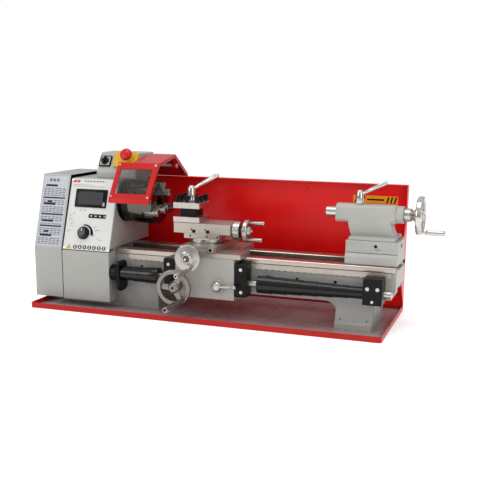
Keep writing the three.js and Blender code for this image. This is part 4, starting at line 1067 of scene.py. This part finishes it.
def compound():
    dress(iron_long, "swivel_base", soft=0.8)
    dress(iron_long, "top_slide", soft=0.9)
    seats = [aim((sx, -57.05, 186.4), (0, -1, 0)) for sx in (-44, -2, 24)]
    screws("gib_screws_low", screw_black, "swivel", seats, 2.2, 0.5)
    bm = bmesh.new()
    for sx in (-35, 0):
        socket_screw(bm, aim((sx, -57.05, 197.5), (0, -1, 0)), 4.0, 2.2)
        round_bar(bm, (sx - 6, -57.02, 201.5), (sx - 6, -57.5, 201.5), 2.0, 2.0, 0.1, 16)
    piece("gib_screws", bm, screw_black, "top_slide")
    bm = bmesh.new()
    turned(bm, "Z", (-16, -20), [(170.3, 0), (170.3, 41), (171, 41.4), (180.4, 41.4), (181.2, 40.4),
                                 (181.2, 0)], 0.4, 96)
    piece("swivel_disc", bm, post_steel, "swivel")
    bm = bmesh.new()
    for i in range(-12, 13):
        turn = Matrix.Translation((-0.016, -0.020, 0)) @ Matrix.Rotation(math.radians(i * 5), 4, "Z")
        block(bm, (-0.2, 0.2), (-41.5, -41.2), (176 if i % 2 else 173.5, 180), 0.0, turn)
    piece("swivel_scale", bm, black_print, "swivel")
    # feed dial, wheel and grips
    y, z = TOP_SCREW
    bm = bmesh.new()
    round_bar(bm, (-40, y, z), (101, y, z), 3.2, 3.2, 0.2, 28)
    turned(bm, "X", TOP_SCREW, [(55.3, 0), (55.3, 19), (58, 21), (66, 21), (66.4, 20.4), (67, 20.4),
                                (67.4, 21), (73, 21), (75, 14), (75, 0)], 0.4, 80)
    piece("top_dial", bm, ground_steel, "top_feed", ("top_screw",))
    bm = bmesh.new()
    dial_marks(bm, "X", TOP_SCREW, 58.4, 21, 60)
    piece("top_dial_marks", bm, black_print, "top_feed")
    bm = bmesh.new()
    turned(bm, "X", TOP_SCREW, [(80, 3.6), (80, 10), (82, 20), (82.6, 24.6), (84.2, 26.5), (91.6, 26.5),
                                (93.6, 25), (94, 23), (91, 12), (97, 9.6), (98, 8.6),
                                (98, 3.6), (80, 3.6)], 0.5, 88)
    for dy, dz in ((9, 18), (-9, -18)):
        round_bar(bm, (90, y + dy, z + dz), (102, y + dy, z + dz), 3, 3, 0.2, 24)
        turned(bm, "X", (y + dy, z + dz), [(98, 0), (98, 3), (99.5, 3.8), (104, 4.1), (118, 4.6), (125, 5),
                                           (127.4, 4.4), (128, 3), (128, 0)], 0.3, 44)
    piece("top_hand_wheel", bm, satin_alu, "top_feed", ("top_wheel",))
    # tool post
    dress(post_steel, "tool_post", soft=0.7)
    bm = bmesh.new()
    px, py = POST
    block(bm, (px - 20.4, px + 20.4), (py - 20.4, py + 20.4), (229.05, 248.95))
    piece("tool_post_core", bm, black_iron, "tool_post")
    bm = bmesh.new()
    spots = [(px + sx * 26, py + sy) for sx in (-1, 1) for sy in (-26, 0.01, 26)] + [(px, py - 26),
            (px, py + 26)]
    for sx, sy in spots:
        turn = Matrix.Translation((sx * MM, sy * MM, 262.5 * MM))
        round_bar(bm, (0, 0, -0.5), (0, 0, 6), 4.2, 4.2, 0.2, 20, turn)
        socket_screw(bm, turn @ Matrix.Translation((0, 0, 5 * MM)), 5.6, 11, 0.5, 20)
    piece("tool_post_screws", bm, screw_black, "tool_post")
    # clamping lever
    bm = bmesh.new()
    turned(bm, "Z", POST, [(262.8, 6.4), (262.8, 11), (266, 11.8), (276, 11.6), (288, 10.2), (295, 9.2),
                           (299, 6.6), (300, 3), (300, 0)], 0.4, 64)
    round_bar(bm, (px + 4, py, 292.9), (px + 30, py, 307.0), 3.6, 4.2, 0.3, 36)
    round_bar(bm, (px + 28, py, 305.95), (px + 64, py, 325.5), 4.9, 5.5, 0.6, 36)
    ball(bm, (px + 64, py, 325.5), 5.5, steps=32)
    piece("clamp_lever", bm, chrome, "tool_lever", ("tool_lever",))


# ---- tailstock -------------------------------------------------------------------------
def tailstock():
    dress(grey_enamel, "tailstock_base", soft=2.0, steps=3)
    dress(dark_steel, "tailstock_clamp", soft=0.5)
    bm = bmesh.new()
    turned(bm, "X", SPINDLE, [(293.2, 11.3), (293.2, 18.4), (300, 18.6), (426, 18.6), (427, 19), (442, 19),
                              (443, 18), (443, 5.4), (424, 5.4), (424, 11.3),
                              (293.2, 11.3)], 0.5, 96)
    barrel = bmesh.new()
    y, z = SPINDLE
    sweep(barrel, rounded(y - 19.8, y + 19.8, z - 19.8, z + 19.8, 9.8, 10), "X", 293, 426, 1.2, 3,
          corner=0.8)
    bores = bmesh.new()
    round_bar(bores, (280, *SPINDLE), (424, *SPINDLE), 11.3, 11.3, 0.0, 72)
    round_bar(bores, (420, *SPINDLE), (440, *SPINDLE), 5.4, 5.4, 0.0, 48)
    carved("tail_barrel", barrel, bores, grey_enamel, "tailstock", ())
    neck = [(331, 203), (326, 216), (322.5, 230), (320, 243), (415, 243), (418, 230), (424, 214),
            (431, 203)]
    sweep(bm, neck, "Y", -25, 15, 2.5, 3)
    block(bm, (330, 432), (-50, 40), (199.3, 206), 1.6, steps=3)
    piece("tail_casting", bm, grey_enamel, "tailstock", ("tailstock_body",))
    bm = bmesh.new()
    turned(bm, "X", SPINDLE, [(268, 6), (268, 9.5), (269.5, 11), (414, 11), (414, 5.6), (318, 5.6),
                              (318, 6), (268, 6)], 0.3, 72)
    piece("quill_sleeve", bm, chrome, "quill", ("quill",))
    bm = bmesh.new()
    round_bar(bm, (325, *SPINDLE), (472, *SPINDLE), 5, 5, 0.2, 28)
    turned(bm, "X", SPINDLE, [(443.3, 0), (443.3, 14.6), (444, 15), (457, 15), (458.5, 14.2), (462, 11),
                              (462, 0)], 0.4, 80)
    piece("tail_dial", bm, ground_steel, "quill_feed", ("quill_screw",))
    bm = bmesh.new()
    dial_marks(bm, "X", SPINDLE, 444.5, 15, 50)
    piece("tail_dial_marks", bm, black_print, "quill_feed")
    bm = bmesh.new()
    turned(bm, "X", SPINDLE, [(474, 33), (472, 34.4), (471, 36.5), (471, 39.5), (472.6, 41.8), (475, 42.5),
                              (481, 42.5), (483.6, 41.8), (485, 39.5), (485, 36.5),
                              (484, 34.4), (482, 33), (474, 33)], 0.5, 110)
    turned(bm, "X", SPINDLE, [(463, 5.3), (463, 10.5), (465, 12.5), (467.6, 15), (470, 21), (474.6, 34),
                              (479.6, 34), (476.6, 20), (479, 12.4), (482, 11),
                              (482, 5.3), (463, 5.3)], 0.5, 96)
    y, z = SPINDLE[0] - 14, SPINDLE[1] - 34
    round_bar(bm, (476, y, z), (496, y, z), 3.6, 3.6, 0.2, 28)
    turned(bm, "X", (y, z), [(492, 0), (492, 4), (493.5, 5), (500, 5.3), (516, 5.8), (529, 6.3),
                             (532.6, 5.8), (534, 4), (534, 0)], 0.4, 56)
    piece("tail_hand_wheel", bm, chrome, "quill_feed", ("tail_wheel",))
    bm = bmesh.new()
    round_bar(bm, (481.6, *SPINDLE), (484.4, *SPINDLE), 7.4, 6.8, 0.5, 6)
    piece("tail_wheel_nut", bm, screw_steel, "quill_feed")
    # quill clamp
    bm = bmesh.new()
    turned(bm, "Z", (343, -5), [(266, 0), (266, 4), (274.5, 4), (274.5, 9), (276, 9.6), (286, 9.4),
                                (294, 8.6), (300, 7.6), (304, 5), (305, 2), (305, 0)], 0.4, 64)
    round_bar(bm, (347, -5, 295.6), (368, -5, 306.6), 3.4, 4.0, 0.2, 32)
    round_bar(bm, (366, -5, 305.6), (398, -5, 322), 4.6, 5.0, 0.4, 32)
    ball(bm, (398, -5, 322), 5.05, steps=32)
    piece("quill_clamp", bm, chrome, "quill_lever", ("quill_lever",))
    # set screws, seam and zero mark
    bm = bmesh.new()
    socket_screw(bm, aim((391, -52.05, 188), (0, -1, 0)), 3.6, 0.7)
    socket_screw(bm, aim((440.05, -5, 186), (1, 0, 0)), 4.4, 0.9)
    piece("tail_set_screws", bm, screw_black, "tailstock")
    bm = bmesh.new()
    block(bm, (326, 438), (-53.0, 43.0), (172.1, 172.7))
    piece("tail_seam", bm, black_iron, "tailstock")
    bm = bmesh.new()
    block(bm, (388.5, 404), (-52.25, -51.9), (180.6, 181.2))
    block(bm, (395.7, 396.3), (-52.25, -51.9), (178, 183.5))
    piece("tail_zero_mark", bm, black_print, "tailstock")


tray_and_guard()
bed_and_ways()
headstock()
switch_gear()
chuck_guard()
spindle_and_chuck()
lead_screw()
screw_covers()
carriage()
cross_feed()
compound()
tailstock()
